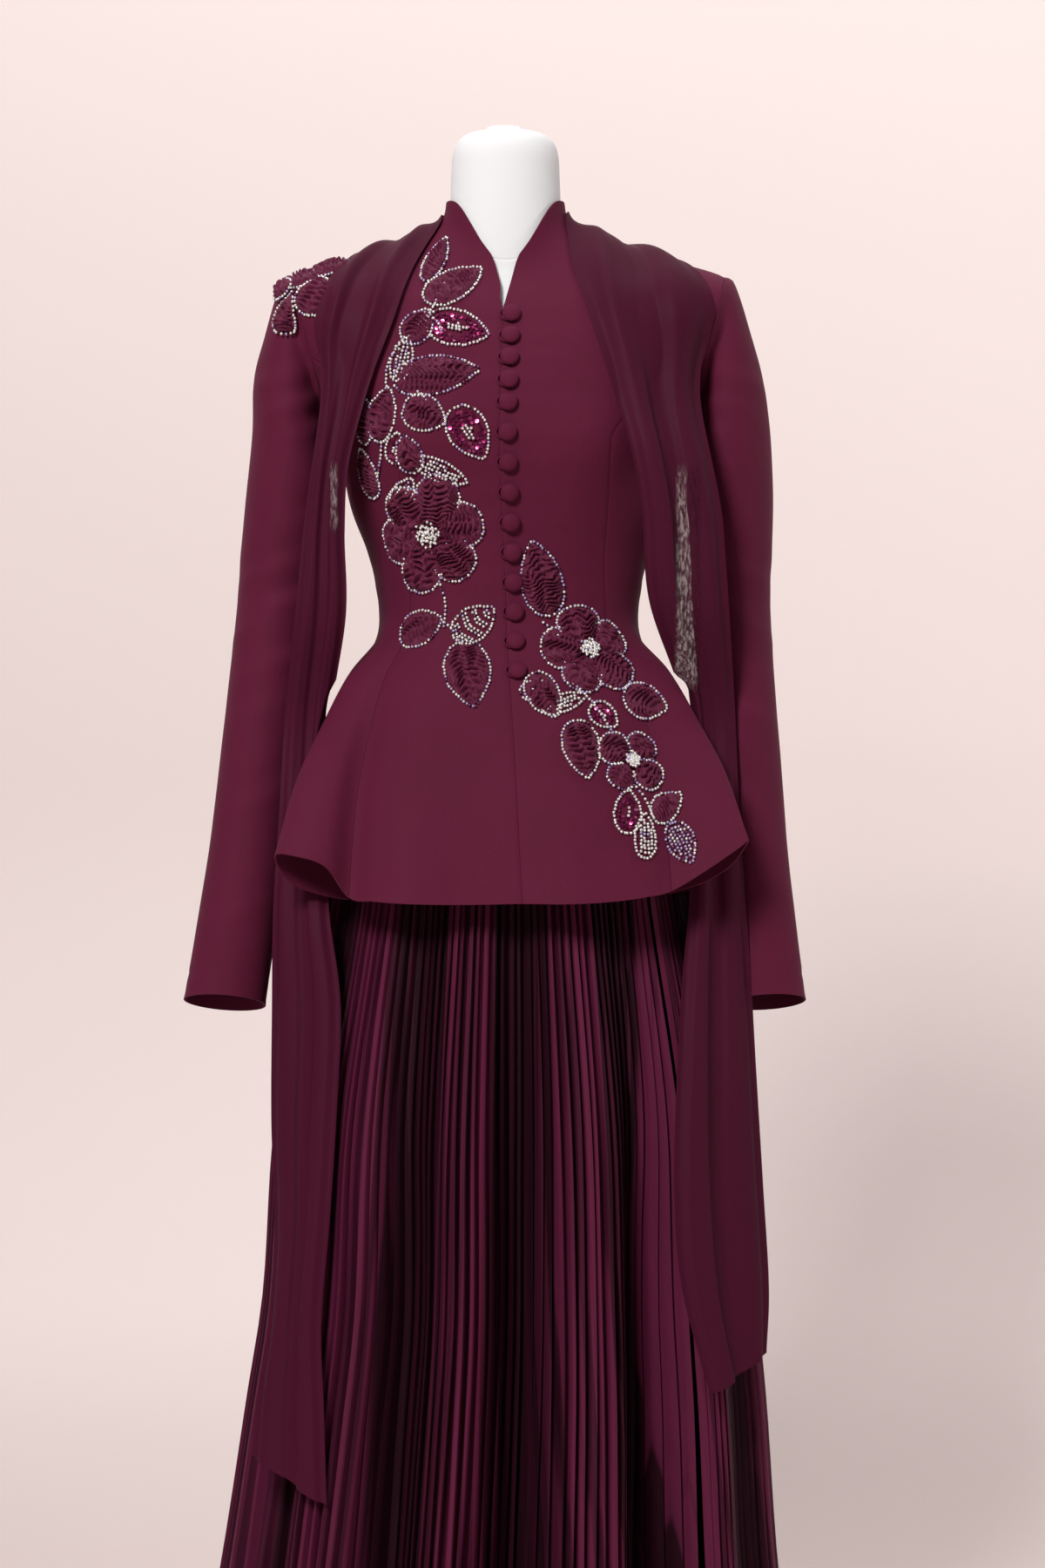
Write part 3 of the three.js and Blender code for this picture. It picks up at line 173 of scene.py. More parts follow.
# Skirt
PLEATS = 160
SKIRT_SQUARE = 2.2
SKIRT = table("z half front back pleat fold shift", [
    (15, 291, 250, 262, 10, 15, -13), (143, 269, 224, 234, 9.2, 14, -10),
    (308, 250, 197, 205, 8.2, 12, -3), (404, 238, 184, 192, 7.6, 11, 0),
    (577, 225, 165, 172, 6.6, 8, 0), (790, 181, 137, 142, 5.2, 4.5, 0),
    (850, 174, 127, 134, 4.6, 2, 0), (930, 163, 114, 124, 3.6, 0, 0),
    (990, 145, 103, 106, 3, 0, 0), (1032.6, 124, 93.8, 89, 2.6, 0, 0),
])
SKIRT_WALL = 0.9
SOFT_FOLDS = {
    "count": 12, "valley": 4, "second": 7, "share": 0.45, "deeper": 4.5, "narrow": 1.8,
    "from": 900, "over": 400,
}
# How far one pleat differs from the next: in depth, place and width, and in a slow sway down its length
PLEAT_CHANCE = {"seed": 21, "deep": (0.75, 1.2), "slip": 0.05, "wider": (-0.22, 0.26), "turn": 6.28}
PLEAT_FACE = (0.3, 0.8)
PLEAT_SWAY = {"far": 0.1, "length": 140, "from": 1030, "over": 500}
# Rows of points: at the hem, and up to the waistband
HEM_ROWS = (15, 26, 3)
SKIRT_ROWS = (55, 1010, 34)
BAND = {"z": (1033.0, 1036.0, 1055.0, 1058.0), "inset": 2.4, "wall": 1.2}
ROUND_COLUMNS = 96
# The oval of the skirt in metres: at the floor, and how it changes with height
SKIRT_HALF = (0.296, -0.163)
SKIRT_DEEP = (0.248, -0.143)
# One knife pleat across: how far along the pitch, and how deep
PLEAT_SHAPE = table("along deep", [
    (0.10, 0.36), (0.16, 0.16), (0.40, 0.05), (0.62, 0.0), (0.67, 0.12), (0.69, 1.4), (0.99, 1.6),
])

# Scarf: inner and outer edge, how closely it lies, its stand-off and fold height
SCARF_COLUMNS = "station in_x in_y in_z out_x out_y out_z lies off fold"
SCARF_NECK = table(SCARF_COLUMNS, [
    (0, -64, 52, 1440, -116, 50, 1402, 1, 1.2, 4), (1, -52, 66, 1440, -98, 82, 1388, 1, 1.2, 5),
    (2, -26, 76, 1438, -52, 100, 1372, 1, 0.9, 6), (3, -3, 80, 1438, -3, 106, 1366, 1, 0.9, 6),
    (4, 20, 76, 1438, 46, 100, 1372, 1, 0.9, 6), (5, 46, 66, 1440, 92, 82, 1388, 1, 1.2, 5),
    (6, 58, 52, 1440, 112, 50, 1402, 1, 1.2, 4),
])
SCARF_END_RIGHT = table(SCARF_COLUMNS, [
    (0, -64, 51.2, 1440, -116, 49, 1402, 1, 0.9, 4), (1, -67, 12, 1440, -132, 14, 1402, 1, 1, 5),
    (2, -70, -26, 1430, -150, -24, 1384, 1, 1.6, 6), (3, -89, -62, 1380, -166, -48, 1350, 1, 3, 8),
    (4, -109, -92, 1316, -176, -70, 1312, 0.8, 6, 9), (5, -135, -108, 1250, -181, -90, 1262, 0.4, 7, 9),
    (6, -150, -112, 1190, -184, -98, 1205, 0.1, 7, 9), (7, -152, -108, 1125, -191, -96, 1130, 0, 6, 9),
    (8, -151, -102, 1050, -199, -92, 1050, 0, 6, 9), (9, -166, -62, 960, -210, -60, 960, 0, 6, 6),
    (10, -168, -76, 870, -215, -70, 868, 0, 6, 6), (11, -167, -101, 780, -220, -80, 776, 0, 6, 8),
    (12, -155, -122, 690, -221, -84, 680, 0, 6, 9), (13, -158, -138, 590, -221, -92, 580, 0, 6, 9),
    (14, -164, -150, 490, -217, -108, 480, 0, 6, 9), (15, -171, -158, 400, -221, -120, 400, 0, 6, 9),
    (16, -168, -168, 320, -231, -128, 332, 0, 6, 9), (17, -165, -178, 237, -236, -138, 276, 0, 6, 8),
])
SCARF_END_LEFT = table(SCARF_COLUMNS, [
    (0, 58, 51.2, 1440, 112, 49, 1402, 1, 1.2, 4), (1, 62, 12, 1440, 140, 14, 1400, 1, 1.4, 6),
    (2, 58, -24, 1434, 166, -20, 1382, 1, 2, 7), (3, 58, -50, 1388, 182, -46, 1354, 1, 2.4, 9),
    (4, 74, -80, 1330, 188, -66, 1316, 0.9, 3, 10), (5, 95, -106, 1264, 192, -86, 1266, 0.6, 5, 11),
    (6, 114, -122, 1208, 196, -98, 1205, 0.2, 6, 11), (7, 124, -120, 1145, 200, -98, 1138, 0, 6, 11),
    (8, 131, -110, 1062, 206, -94, 1055, 0, 6, 11), (9, 163, -64, 970, 213, -62, 966, 0, 6, 6),
    (10, 166, -72, 880, 216.5, -68, 880, 0, 6, 6), (11, 169, -96, 795, 221, -76, 800, 0, 6, 7),
    (12, 162, -112, 715, 227, -74, 720, 0, 6, 9), (13, 156, -130, 625, 232, -80, 625, 0, 6, 10),
    (14, 153, -146, 520, 238, -86, 520, 0, 6, 10), (15, 160, -152, 430, 243, -94, 425, 0, 6, 10),
    (16, 186, -152, 333, 240, -106, 365, 0, 6, 8),
])
SCARF_WALL = 0.7
SCARF_FOLD = {
    "waves": 2, "lean": 2, "full": 10, "least": 1.6, "reach": 45, "above": 1.1, "wave_share": 0.3,
    "drift": 0.06, "drift_rate": 0.9, "small": 0.12, "small_waves": 4.3, "small_drift": 0.3,
    "small_rate": 0.7,
}
# The two raised strips of a hanging end: from, to, height
SCARF_STRIPS = [(0.03, 0.41, 1.0), (0.52, 0.95, 0.55)]
STRIP_SLOPE = 0.08
# Each stretch: name, rows, first and last station, rows and columns of points, seed, how it is held
SCARF_PIECES = [
    ("neck", SCARF_NECK, 0.12, 5.88, 60, 44, 1.0, "laid"),
    ("end_right", SCARF_END_RIGHT, 0, 17, 260, 60, 2.0, "draped"),
    ("end_left", SCARF_END_LEFT, 0, 16, 240, 64, 3.4, "draped"),
]
# Sheer patches: low, high and softness across, then the same up, in metres
SHEER = [(0.156, 0.178, 0.003, 0.985, 1.185, 0.012), (-0.166, -0.158, 0.002, 1.13, 1.19, 0.01)]

# Buttons
BUTTON = {
    "diameter": 17.5, "height": 8, "foot": 6.2, "sit": 1.0, "beside": 7.8, "top": 1331,
    "under": 0.6, "foot_top": 1.4, "rim_low": 1.9, "rim": 0.93, "rim_high": 2.8, "sides": 28, "rings": 9,
}
BUTTON_PITCHES = [21] * 4 + [27.7] * 9
BUTTON_ROWS = np.cumsum([BUTTON["top"]] + [-pitch for pitch in BUTTON_PITCHES])
BUTTON_RINGS = (2.5, 12.2, 500)
LOOP = {
    "half_long": 9.5, "half_wide": 6.8, "back": 1.5, "height": 1.6, "radius": 1.15, "turn": 0.62,
    "points": 17, "sides": 7,
}

# Applique: place of the middle, lean of the axis, size, and how it is worked
LEAF_KEYS = "name x y z angle length width work on silver"
LEAVES = [dict(zip(LEAF_KEYS.split(), row, strict=True)) for row in [
    ("leaf_collar", -68, -50, 1385, 74, 58, 17, "ruched", "jacket", 0.6),
    ("leaf_neck", -51, -75, 1363, 38, 64, 32, "ruched", "jacket", 0.8),
    ("leaf_chest_small", -84, -88, 1318, 60, 36, 26, "ruched", "jacket", 0.35),
    ("leaf_chest_wide", -67, -105, 1272, 8, 78, 35, "ruched", "jacket", 0.35),
    ("leaf_chest_outer", -113, -95, 1236, 76, 50, 29, "ruched", "jacket", 0.8),
    ("leaf_bust", -77, -112, 1235, -24, 40, 32, "ruched", "jacket", 0.85),
    ("leaf_side", -133, -75, 1184, 96, 46, 24, "ruched", "jacket", 0.5),
    ("leaf_waist_round", -79, -75, 1037, 25, 44, 34, "ruched", "jacket", 0.7),
    ("leaf_waist_hanging", -36, -100, 991, -78, 64, 40, "ruched", "jacket", 0.5),
    ("leaf_bodice_left", 31, -97, 1084, 104, 70, 36, "ruched", "jacket", 0.3),
    ("leaf_hip_inner", 33, -115, 973, -62, 46, 28, "ruched", "jacket", 0.8),
    ("leaf_hip_outer", 126, -90, 968, -20, 42, 34, "ruched", "jacket", 0.6),
    ("leaf_peplum", 68, -135, 925, -86, 56, 33, "ruched", "jacket", 0.8),
    ("leaf_peplum_tip", 146, -135, 874, 38, 36, 24, "ruched", "jacket", 0.85),
    ("leaf_shoulder_low", -208, -56, 1336, 64, 38, 26, "ruched", "sleeve", 0.8),
    ("leaf_shoulder_high", -206, -36, 1358, 10, 26, 18, "ruched", "sleeve", 0.7),
    ("beaded_neck", -47, -88, 1315, -14, 58, 34, "sequins", "jacket", 0.9),
    ("beaded_chest_line", -98, -98, 1288, 80, 42, 18, "silver", "jacket", 0.95),
    ("beaded_bust", -36, -116, 1218, -58, 52, 34, "sequins", "jacket", 0.9),
    ("beaded_oval", -100, -100, 1207, 70, 28, 18, "sequins", "jacket", 0.9),
    ("beaded_under_bust", -62, -105, 1185, -24, 50, 17, "silver", "jacket", 0.95),
    ("beaded_side", -95, -88, 1166, 48, 36, 18, "silver", "jacket", 0.95),
    ("beaded_waist", -32, -98, 1043, 40, 44, 30, "striped", "jacket", 0.8),
    ("beaded_hip_high", 25, -112, 978, 20, 26, 16, "sequins", "jacket", 0.9),
    ("beaded_hip_line", 52, -120, 968, 20, 42, 15, "silver", "jacket", 0.95),
    ("beaded_hip_oval", 90, -120, 958, -40, 28, 22, "sequins", "jacket", 0.9),
    ("beaded_tip_left", 108, -140, 866, 80, 40, 24, "sequins", "jacket", 0.9),
    ("beaded_tip_middle", 123, -140, 843, 84, 40, 19, "silver", "jacket", 0.95),
    ("beaded_tip_right", 160, -138, 838, -60, 40, 24, "lilac", "jacket", 0.3),
    ("shoulder_front", -182, -64, 1352, 80, 46, 34, "ruched", "jacket", 0.8),
    ("shoulder_top", -168, -34, 1379, 50, 40, 28, "ruched", "jacket", 0.7),
    ("shoulder_edge", -192, -42, 1368, 15, 34, 26, "ruched", "jacket", 0.7),
    ("chest_inner", -88, -100, 1203, 100, 34, 24, "ruched", "jacket", 0.5),
    ("side_upper", -130, -84, 1232, 78, 40, 20, "ruched", "jacket", 0.4),
]]
FLOWER_KEYS = "name x y z turn radius petals on"
FLOWERS = [dict(zip(FLOWER_KEYS.split(), row, strict=True)) for row in [
    ("flower_waist_right", -71, -85, 1128, 12, 54, 6, "jacket"),
    ("flower_waist_left", 74, -90, 1016, 30, 45, 5, "jacket"),
    ("flower_peplum_left", 114, -125, 914, 50, 32, 4, "jacket"),
]]
# Ruched cloth: heights, pitch of the gathers, distance between points
RUCHE = {
    "edge": 0.7, "middle": 1.2, "ruffle": 6.4, "top": 5.4, "pitch": 5.2, "grain": 0.68, "least": 0.2,
}
TAPER = {"leaf": 0.22, "petal": 0.4}
# Gathers, in pitches: two sizes of noise push them aside, and a slanting second set lies between them
GATHERS = {"wide": (4.2, 2.6), "far": 2.6, "small": (1.8, 1.2), "near": 1.2, "round": 1.5, "least": 0.6}
SECOND_SET = {"along": 0.6, "across": 0.55, "follow": 1.4, "high": 0.6}
CRESTS = {"rate": 2.2, "drift": 3.0, "size": 2.0}
# Scallops of a leaf's edge: depth, rate along it, share of the seed
SCALLOPS = [(0.07, 2.1, 1), (0.04, 4.7, 2)]
PETAL = {"length": 0.92, "uneven": 0.1, "rate": 2.3, "reach": 0.55, "width": 0.74, "most": 0.95}
SEEDS = {"leaf": 1.7, "flower": 2.9, "petal": 1.3}
# Rings that close a patch underneath, as shares of the way out to its rim
UNDER_RINGS = np.array([1.0, 0.62, 0.28, 0.0])
LIFT = {"jacket": 0.6, "sleeve": 3.2}

# Form and stand
FORM_INSET = table("ring inset", [
    (0, 42), (1, 38), (2, 34), (3, 24), (4, 14), (4.4, 6), (5, 5.4), (5.7, 3.2), (9, 3.2),
    (10, 9.5), (12, 10.5), (13.5, 8), (15, 6), (17, 3.8),
])
FORM = {"bottom": 0.25, "floor": 806, "neck_seam": 15.9, "seam_gap": 0.4, "top": 1517, "rows": 120}
FORM_ARMHOLE = {"inset": 2.2, "from": 1190}
NECK_ROWS = 16
NECK_TOP = 0.02
# Heights of the neck block's upper rings: its side, then its rounded top
NECK_SIDE = (1474, 1500, 8)
NECK_CAP = (1503, FORM["top"], 14)
NECK_TAPER = table("z scale", [
    (1449, 1.0), (1478, 0.98), (1495, 0.955), (1507, 0.86), (1514, 0.68), (1517, 0.42),
])


# Small maths
def curves(rows, along, at):
    """A cubic through each column, its slope at each row taken from the rows on both sides."""
    x = rows[along]
    last = len(x) - 1
    where = np.clip(at, x[0], x[-1])
    i = np.clip(np.searchsorted(x, where, side="right") - 1, 0, last - 1)
    low = np.maximum(np.arange(last + 1) - 1, 0)
    high = np.minimum(np.arange(last + 1) + 1, last)
    span = x[i + 1] - x[i]
    s = (where - x[i]) / span
    s2, s3 = s * s, s * s * s
    ease, leave, arrive = 3 * s2 - 2 * s3, (s3 - 2 * s2 + s) * span, (s3 - s2) * span
    found = {}
    for name, y in rows.items():
        slope = (y[high] - y[low]) / (x[high] - x[low])
        found[name] = mix(y[i], y[i + 1], ease) + leave * slope[i] + arrive * slope[i + 1]
    return found


def unit(v):
    """Each vector divided by its length."""
    return v / np.maximum(np.linalg.norm(v, axis=-1, keepdims=True), TINY)


def mix(a, b, share):
    """The point that lies share of the way from a to b."""
    return a + (b - a) * share


def dots(a, b):
    """The dot product of each pair of vectors."""
    return (a * b).sum(-1, keepdims=True)


def bump_at(x, middle, spread):
    """A bell curve: e to the minus of the squared distance in spreads."""
    return np.exp(-(((x - middle) / spread) ** 2))


# Surfaces
def ring_point(angle, ring):
    """A superellipse: sine and cosine of the angle over the norm of the two, times the half sizes."""
    value = curves(RINGS, "ring", np.asarray(ring, float))
    s, c = np.sin(np.radians(angle)), np.cos(np.radians(angle))
    n = value["square"]
    m = (np.abs(s) ** n + np.abs(c) ** n) ** (1 / n)
    depth = np.where(c > 0, value["front"], value["back"])
    end_z = np.where(c > 0, value["z_front"], value["z_back"])
    aside = value["shift"] + value["edge"] * np.maximum(0, c) ** 3
    z = value["z_side"] * s * s + end_z * c * c
    return np.stack(np.broadcast_arrays(aside + value["half"] * s / m, -depth * c / m, z), -1)


def hem_point(angle):
    """The peplum hem at an angle, from the table of the side it is on."""
    sides = []
    for rows in (HEM_LEFT, HEM_RIGHT):
        at = curves(rows, "angle", np.abs(angle))
        sides.append(np.stack([at["x"], at["y"], at["z"]], -1))
    return np.where((angle < 0)[..., None], sides[1], sides[0])


def cup_swell(p, angle):
    """A bell in angle times a bell in height."""
    return CUP["out"] * bump_at(np.abs(angle), CUP["angle"], CUP["spread"]) * bump_at(
        p[..., 2], CUP["z"], CUP["rise"]
    )


def jacket_point(angle, ring):
    """The ring less the cup's swell in y, and below the waist its share of the way to the hem."""
    turned = np.where(angle > 180, angle - 360, angle)
    p = ring_point(turned, ring)
    if np.min(ring) < WAIST_RING:
        share = np.clip(1 - ring / WAIST_RING, 0, 1) ** FLARE_POWER
        p = p + (hem_point(turned) - ring_point(turned, 0.0)) * share[..., None]
    p[..., 1] -= cup_swell(p, turned)
    return p


class Surface:
    """A surface of two numbers, with its normal and the nearest point to a place."""

    PART = 1500
    ROUNDS = 8
    FURTHEST = 6
    LEAST_DET = 1e-9

    def __init__(self, point, us, vs, du, dv, v_range):
        self.point, self.du, self.dv, self.v_range = point, du, dv, v_range
        self.u, self.v = (a.ravel() for a in np.meshgrid(us, vs, indexing="ij"))
        self.samples = point(self.u, self.v)

    def slopes(self, u, v):
        """Half the difference of the points on both sides, over the step."""
        low, high = self.v_range
        v = np.clip(v, low + self.dv, high - self.dv)
        pu = (self.point(u + self.du, v) - self.point(u - self.du, v)) / (2 * self.du)
        pv = (self.point(u, v + self.dv) - self.point(u, v - self.dv)) / (2 * self.dv)
        return pu, pv

    def normal(self, u, v):
        """The cross product of the two slopes."""
        pu, pv = self.slopes(u, v)
        return unit(np.cross(pu, pv))

    def nearest(self, q):
        """The nearest sample, then least-squares steps along the two slopes."""
        flat = q.reshape(-1, 3)
        best = []
        for part in np.array_split(flat, len(flat) // self.PART + 1):
            far = (self.samples**2).sum(1)[None] - 2 * part @ self.samples.T
            best.append(far.argmin(1))
        best = np.concatenate(best)
        u, v = self.u[best], self.v[best]
        far_u, far_v = self.FURTHEST * self.du, self.FURTHEST * self.dv
        for _ in range(self.ROUNDS):
            p = self.point(u, v)
            pu, pv = self.slopes(u, v)
            miss = flat - p
            a, b, c = (dots(*pair)[:, 0] for pair in ((pu, pu), (pu, pv), (pv, pv)))
            e, f = dots(pu, miss)[:, 0], dots(pv, miss)[:, 0]
            det = np.maximum(a * c - b * b, self.LEAST_DET)
            u = u + np.clip((c * e - b * f) / det, -far_u, far_u)
            v = np.clip(v + np.clip((a * f - b * e) / det, -far_v, far_v), *self.v_range)
        shape = q.shape[:-1]
        return u.reshape(shape), v.reshape(shape)

    def base(self, place):
        """The nearest point to a place, with its normal, level direction and rising direction."""
        u, v = self.nearest(np.array([place], float))
        n = self.normal(u, v)[0]
        across = unit(np.cross([0, 0, 1], n))
        return self.point(u, v)[0], n, across, unit(np.cross(n, across))

    def drop(self, place, x, z):
        """Where points x across and z up from a place in its tangent plane lie nearest the surface."""
        p, _, across, up = self.base(place)
        return self.nearest(p + x[..., None] * across + z[..., None] * up)

    def drop_grid(self, place, x, z, coarse=12):
        """The same for a grid: a coarse grid is dropped, and the rest lies straight between."""
        rows, columns = x.shape
        r, c = np.linspace(0, rows - 1, coarse), np.linspace(0, columns - 1, coarse)
        pick = np.ix_(np.round(r).astype(int), np.round(c).astype(int))
        found = []
        for part in self.drop(place, x[pick], z[pick]):
            part = np.array([np.interp(np.arange(columns), np.round(c), line) for line in part])
            found.append(np.array([np.interp(np.arange(rows), np.round(r), line) for line in part.T]).T)
        return found

    def lift(self, u, v, height):
        """Points of the surface moved out along its normals."""
        return self.point(u, v) + self.normal(u, v) * np.asarray(height)[..., None]


JACKET = Surface(
    jacket_point, np.linspace(-176, 180, 120), np.linspace(0, COLLAR_RING, 100),
    JACKET_STEP["angle"], JACKET_STEP["ring"], (0.0, float(COLLAR_RING)),
)


def armhole_frame(side, inset=0.0):
    """The armhole plane: its top and pit points, the way up in it and its outward normal."""
    top = np.array([side * ARMHOLE["top_x"], ARMHOLE["front"], ARMHOLE["top_z"]], float)
    pit = np.array([side * ARMHOLE["pit_x"], ARMHOLE["front"], ARMHOLE["pit_z"]], float)
    up = unit(top - pit)
    out = unit(np.array([side * up[2], 0, -abs(up[0])]))
    return top - out * inset, pit - out * inset, up, out


# Meshes
def grid_faces(rows, columns, closed=False, start=0, turned=False):
    """Four corners for each cell of a grid; a closed one joins its last column to its first."""
    index = start + np.arange(rows * columns).reshape(rows, columns)
    if closed:
        index = np.concatenate([index, index[:, :1]], axis=1)
    corners = [index[:-1, :-1], index[:-1, 1:], index[1:, 1:], index[1:, :-1]]
    if turned:
        corners.reverse()
    return np.stack(corners, -1).reshape(-1, 4)


def rim_of(grid):
    """The outermost points of a grid, once round."""
    return np.concatenate([grid[0], grid[1:, -1], grid[-1, -2::-1], grid[-2:0:-1, 0]])


def wall_faces(rows, columns, closed=False):
    """Faces of an outer grid, the same turned for the inner one, and strips round the open edges."""
    count = rows * columns
    faces = [grid_faces(rows, columns, closed), grid_faces(rows, columns, closed, count, True)]
    index = np.arange(count).reshape(rows, columns)
    edges = [index[0], index[-1][::-1]] if closed else [rim_of(index)]
    for edge in edges:
        ahead = np.roll(edge, -1)
        faces.append(np.stack([edge + count, ahead + count, ahead, edge], -1))
    return np.concatenate(faces)


def mesh_of(name, points, faces, sharp=SHARP, weld=False):
    """A mesh from points in millimetres and four-cornered faces, smooth but for its sharp edges."""
    mesh = bpy.data.meshes.new(name)
    mesh.from_pydata((np.asarray(points) * MM).reshape(-1, 3).tolist(), [], faces.tolist())
    if weld:
        bm = bmesh.new()
        bm.from_mesh(mesh)
        bmesh.ops.remove_doubles(bm, verts=bm.verts, dist=WELD)
        bm.to_mesh(mesh)
        bm.free()
    mesh.validate()
    mesh.shade_smooth()
    mesh.set_sharp_from_angle(angle=math.radians(sharp))
    return mesh


def add_piece(name, mesh, material, nodes=()):
    """Puts a mesh in the scene as a piece of the gown that rides with it."""
    piece = bpy.data.objects.new(name, mesh)
    bpy.context.scene.collection.objects.link(piece)
    mesh.materials.append(material)
    if nodes:
        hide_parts(*nodes)
    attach(piece, "root")
    return piece


def cut_size(grid, closed=False):
    """The widest row, the longest column and the area of a grid, in metres."""
    if closed:
        grid = np.concatenate([grid, grid[:, :1]], axis=1)
    across = np.linalg.norm(np.diff(grid, axis=1), axis=-1).sum(1).max()
    along = np.linalg.norm(np.diff(grid, axis=0), axis=-1).sum(0).max()
    a, b = grid[1:, 1:] - grid[:-1, :-1], grid[1:, :-1] - grid[:-1, 1:]
    area = 0.5 * np.linalg.norm(np.cross(a, b), axis=-1).sum()
    return across * MM, along * MM, area * MM * MM


def grid_normals(grid, closed=False):
    """The cross product of the differences along and up, with the ends taken one-sided."""
    if closed:
        padded = np.concatenate([grid[:, -1:], grid, grid[:, :1]], axis=1)
        along = padded[:, 2:] - padded[:, :-2]
    else:
        along = np.gradient(grid, axis=1)
    return unit(np.cross(along, np.gradient(grid, axis=0)))


def cloth_wall(name, outer, thickness, material, nodes, held, closed=False):
    """A cloth wall from a grid: the same points moved in along the normals make its other face."""
    inner = outer - grid_normals(outer, closed) * thickness
    rows, columns = outer.shape[:2]
    points = np.concatenate([outer.reshape(-1, 3), inner.reshape(-1, 3)])
    mesh = mesh_of(name, points, wall_faces(rows, columns, closed))
    piece = add_piece(name, mesh, material, nodes)
    width, length, area = cut_size(outer, closed)
    return piece


def even_rows(line, low, high, step):
    """Row numbers from low to high whose points along one line lie about one step apart."""
    trial = np.linspace(low, high, 400)
    gone = np.concatenate([[0], np.cumsum(np.linalg.norm(np.diff(line(trial), axis=0), axis=-1))])
    count = max(4, int(gone[-1] / step) + 1)
    return np.interp(np.linspace(0, gone[-1], count), gone, trial)


def noise(x, y, z=0.0, seed=0):
    """Soft unevenness: a sum of sines in turned directions, each finer one half the last."""
    chance = np.random.default_rng(seed)
    total = 0.0
    for octave in range(NOISE_OCTAVES):
        way = chance.normal(size=3)
        way /= np.linalg.norm(way)
        rate = 2.0**octave
        along = rate * (x * way[0] + y * way[1] + z * way[2])
        total = total + np.sin(along + chance.uniform(0, NOISE_TURN)) / rate
    return total / NOISE_SUM


# Materials
class Signal:
    """A shader value; arithmetic on it adds Math nodes."""

    def __init__(self, look, socket):
        self.look, self.socket = look, socket

    def math(self, operation, *values):
        """One Math node on this value and others."""
        sockets = dict(enumerate([self, *values]))
        node = self.look.node("ShaderNodeMath", {"operation": operation}, sockets)
        return Signal(self.look, node.outputs[0])

    def __add__(self, other):
        return self.math("ADD", other)

    __radd__ = __add__

    def __mul__(self, other):
        return self.math("MULTIPLY", other)

    __rmul__ = __mul__

    def __sub__(self, other):
        return self.math("SUBTRACT", other)

    def __rsub__(self, other):
        return (self * -1.0) + other

    def sine(self):
        """The sine of the value."""
        return self.math("SINE")

    def between(self, low, high, soft):
        """One inside a range and nothing outside it, with soft ends."""
        smooth = {"interpolation_type": "SMOOTHSTEP"}
        sockets = {0: self, 1: low - soft, 2: low + soft}
        rise = self.look.node("ShaderNodeMapRange", smooth, sockets)
        sockets = {0: self, 1: high - soft, 2: high + soft, 3: 1.0, 4: 0.0}
        fall = self.look.node("ShaderNodeMapRange", smooth, sockets)
        return Signal(self.look, rise.outputs[0]) * Signal(self.look, fall.outputs[0])

    def clamp(self):
        """The value held between 0 and 1."""
        node = self.look.node("ShaderNodeClamp", {}, {0: self})
        return Signal(self.look, node.outputs[0])


class Look:
    """A material with one Principled shader and a method that adds any other node."""

    def __init__(self, name, **constants):
        self.material = bpy.data.materials.new(name)
        self.material.use_nodes = True
        self.nodes = self.material.node_tree.nodes
        self.links = self.material.node_tree.links
        self.shader = self.nodes["Principled BSDF"]
        for socket, value in constants.items():
            self.shader.inputs[socket.replace("_", " ")].default_value = value

    def node(self, kind, settings, sockets):
        """A node of a kind, with its settings made first and then its sockets filled or linked."""
        node = self.nodes.new(kind)
        for key, value in settings.items():
            setattr(node, key, value)
        for socket, value in sockets.items():
            self.feed(node.inputs[socket], value)
        return node

    def feed(self, socket, value):
        """A link where the value comes from a node, or else a plain number or colour."""
        if isinstance(value, Signal):
            self.links.new(value.socket, socket)
        elif isinstance(value, bpy.types.NodeSocket):
            self.links.new(value, socket)
        else:
            socket.default_value = value

    def place(self):
        """The object's own coordinates in metres."""
        return self.node("ShaderNodeTexCoord", {}, {}).outputs["Object"]

    def axis(self, name):
        """One of the object's own coordinates in metres."""
        node = self.node("ShaderNodeSeparateXYZ", {}, {0: self.place()})
        return Signal(self, node.outputs[name])

    def turn(self, half, deep):
        """The angle round an upright oval, whose two half widths are each a straight line in height."""
        x, y, z = self.axis("X"), self.axis("Y"), self.axis("Z")
        wide = x.math("DIVIDE", z * half[1] + half[0])
        near = (y * -1.0).math("DIVIDE", z * deep[1] + deep[0])
        return wide.math("ARCTAN2", near)

    def streaks(self, across, along):
        """Noise along two values, in streaks that follow the second."""
        place = self.node("ShaderNodeCombineXYZ", {}, {0: across, 1: along})
        sockets = {"Vector": place.outputs[0], "Scale": 1.0, "Detail": 2.0, "Roughness": 0.5}
        return Signal(self, self.node("ShaderNodeTexNoise", {}, sockets).outputs["Fac"])

    def grain(self, scale, detail=3.0, rough=0.5, stretch=(1, 1, 1)):
        """Noise at so many features a metre, stretched along the axes."""
        mapping = self.node("ShaderNodeMapping", {}, {"Vector": self.place(), "Scale": stretch})
        sockets = {"Vector": mapping.outputs[0], "Scale": scale, "Detail": detail, "Roughness": rough}
        return Signal(self, self.node("ShaderNodeTexNoise", {}, sockets).outputs["Fac"])

    def blend(self, share, first, second):
        """A colour between two, by a share."""
        node = self.node("ShaderNodeMix", {"data_type": "RGBA"}, {"Factor": share})
        self.feed(node.inputs[6], first)
        self.feed(node.inputs[7], second)
        return node.outputs[2]

    def surface(self, **links):
        """Feeds the shader's sockets."""
        for socket, value in links.items():
            self.feed(self.shader.inputs[socket.replace("_", " ")], value)

    def relief(self, height, distance, strength):
        """A bump of so many metres from a height between 0 and 1."""
        sockets = {"Height": height, "Distance": distance, "Strength": strength}
        node = self.node("ShaderNodeBump", {}, sockets)
        self.feed(self.shader.inputs["Normal"], node.outputs[0])


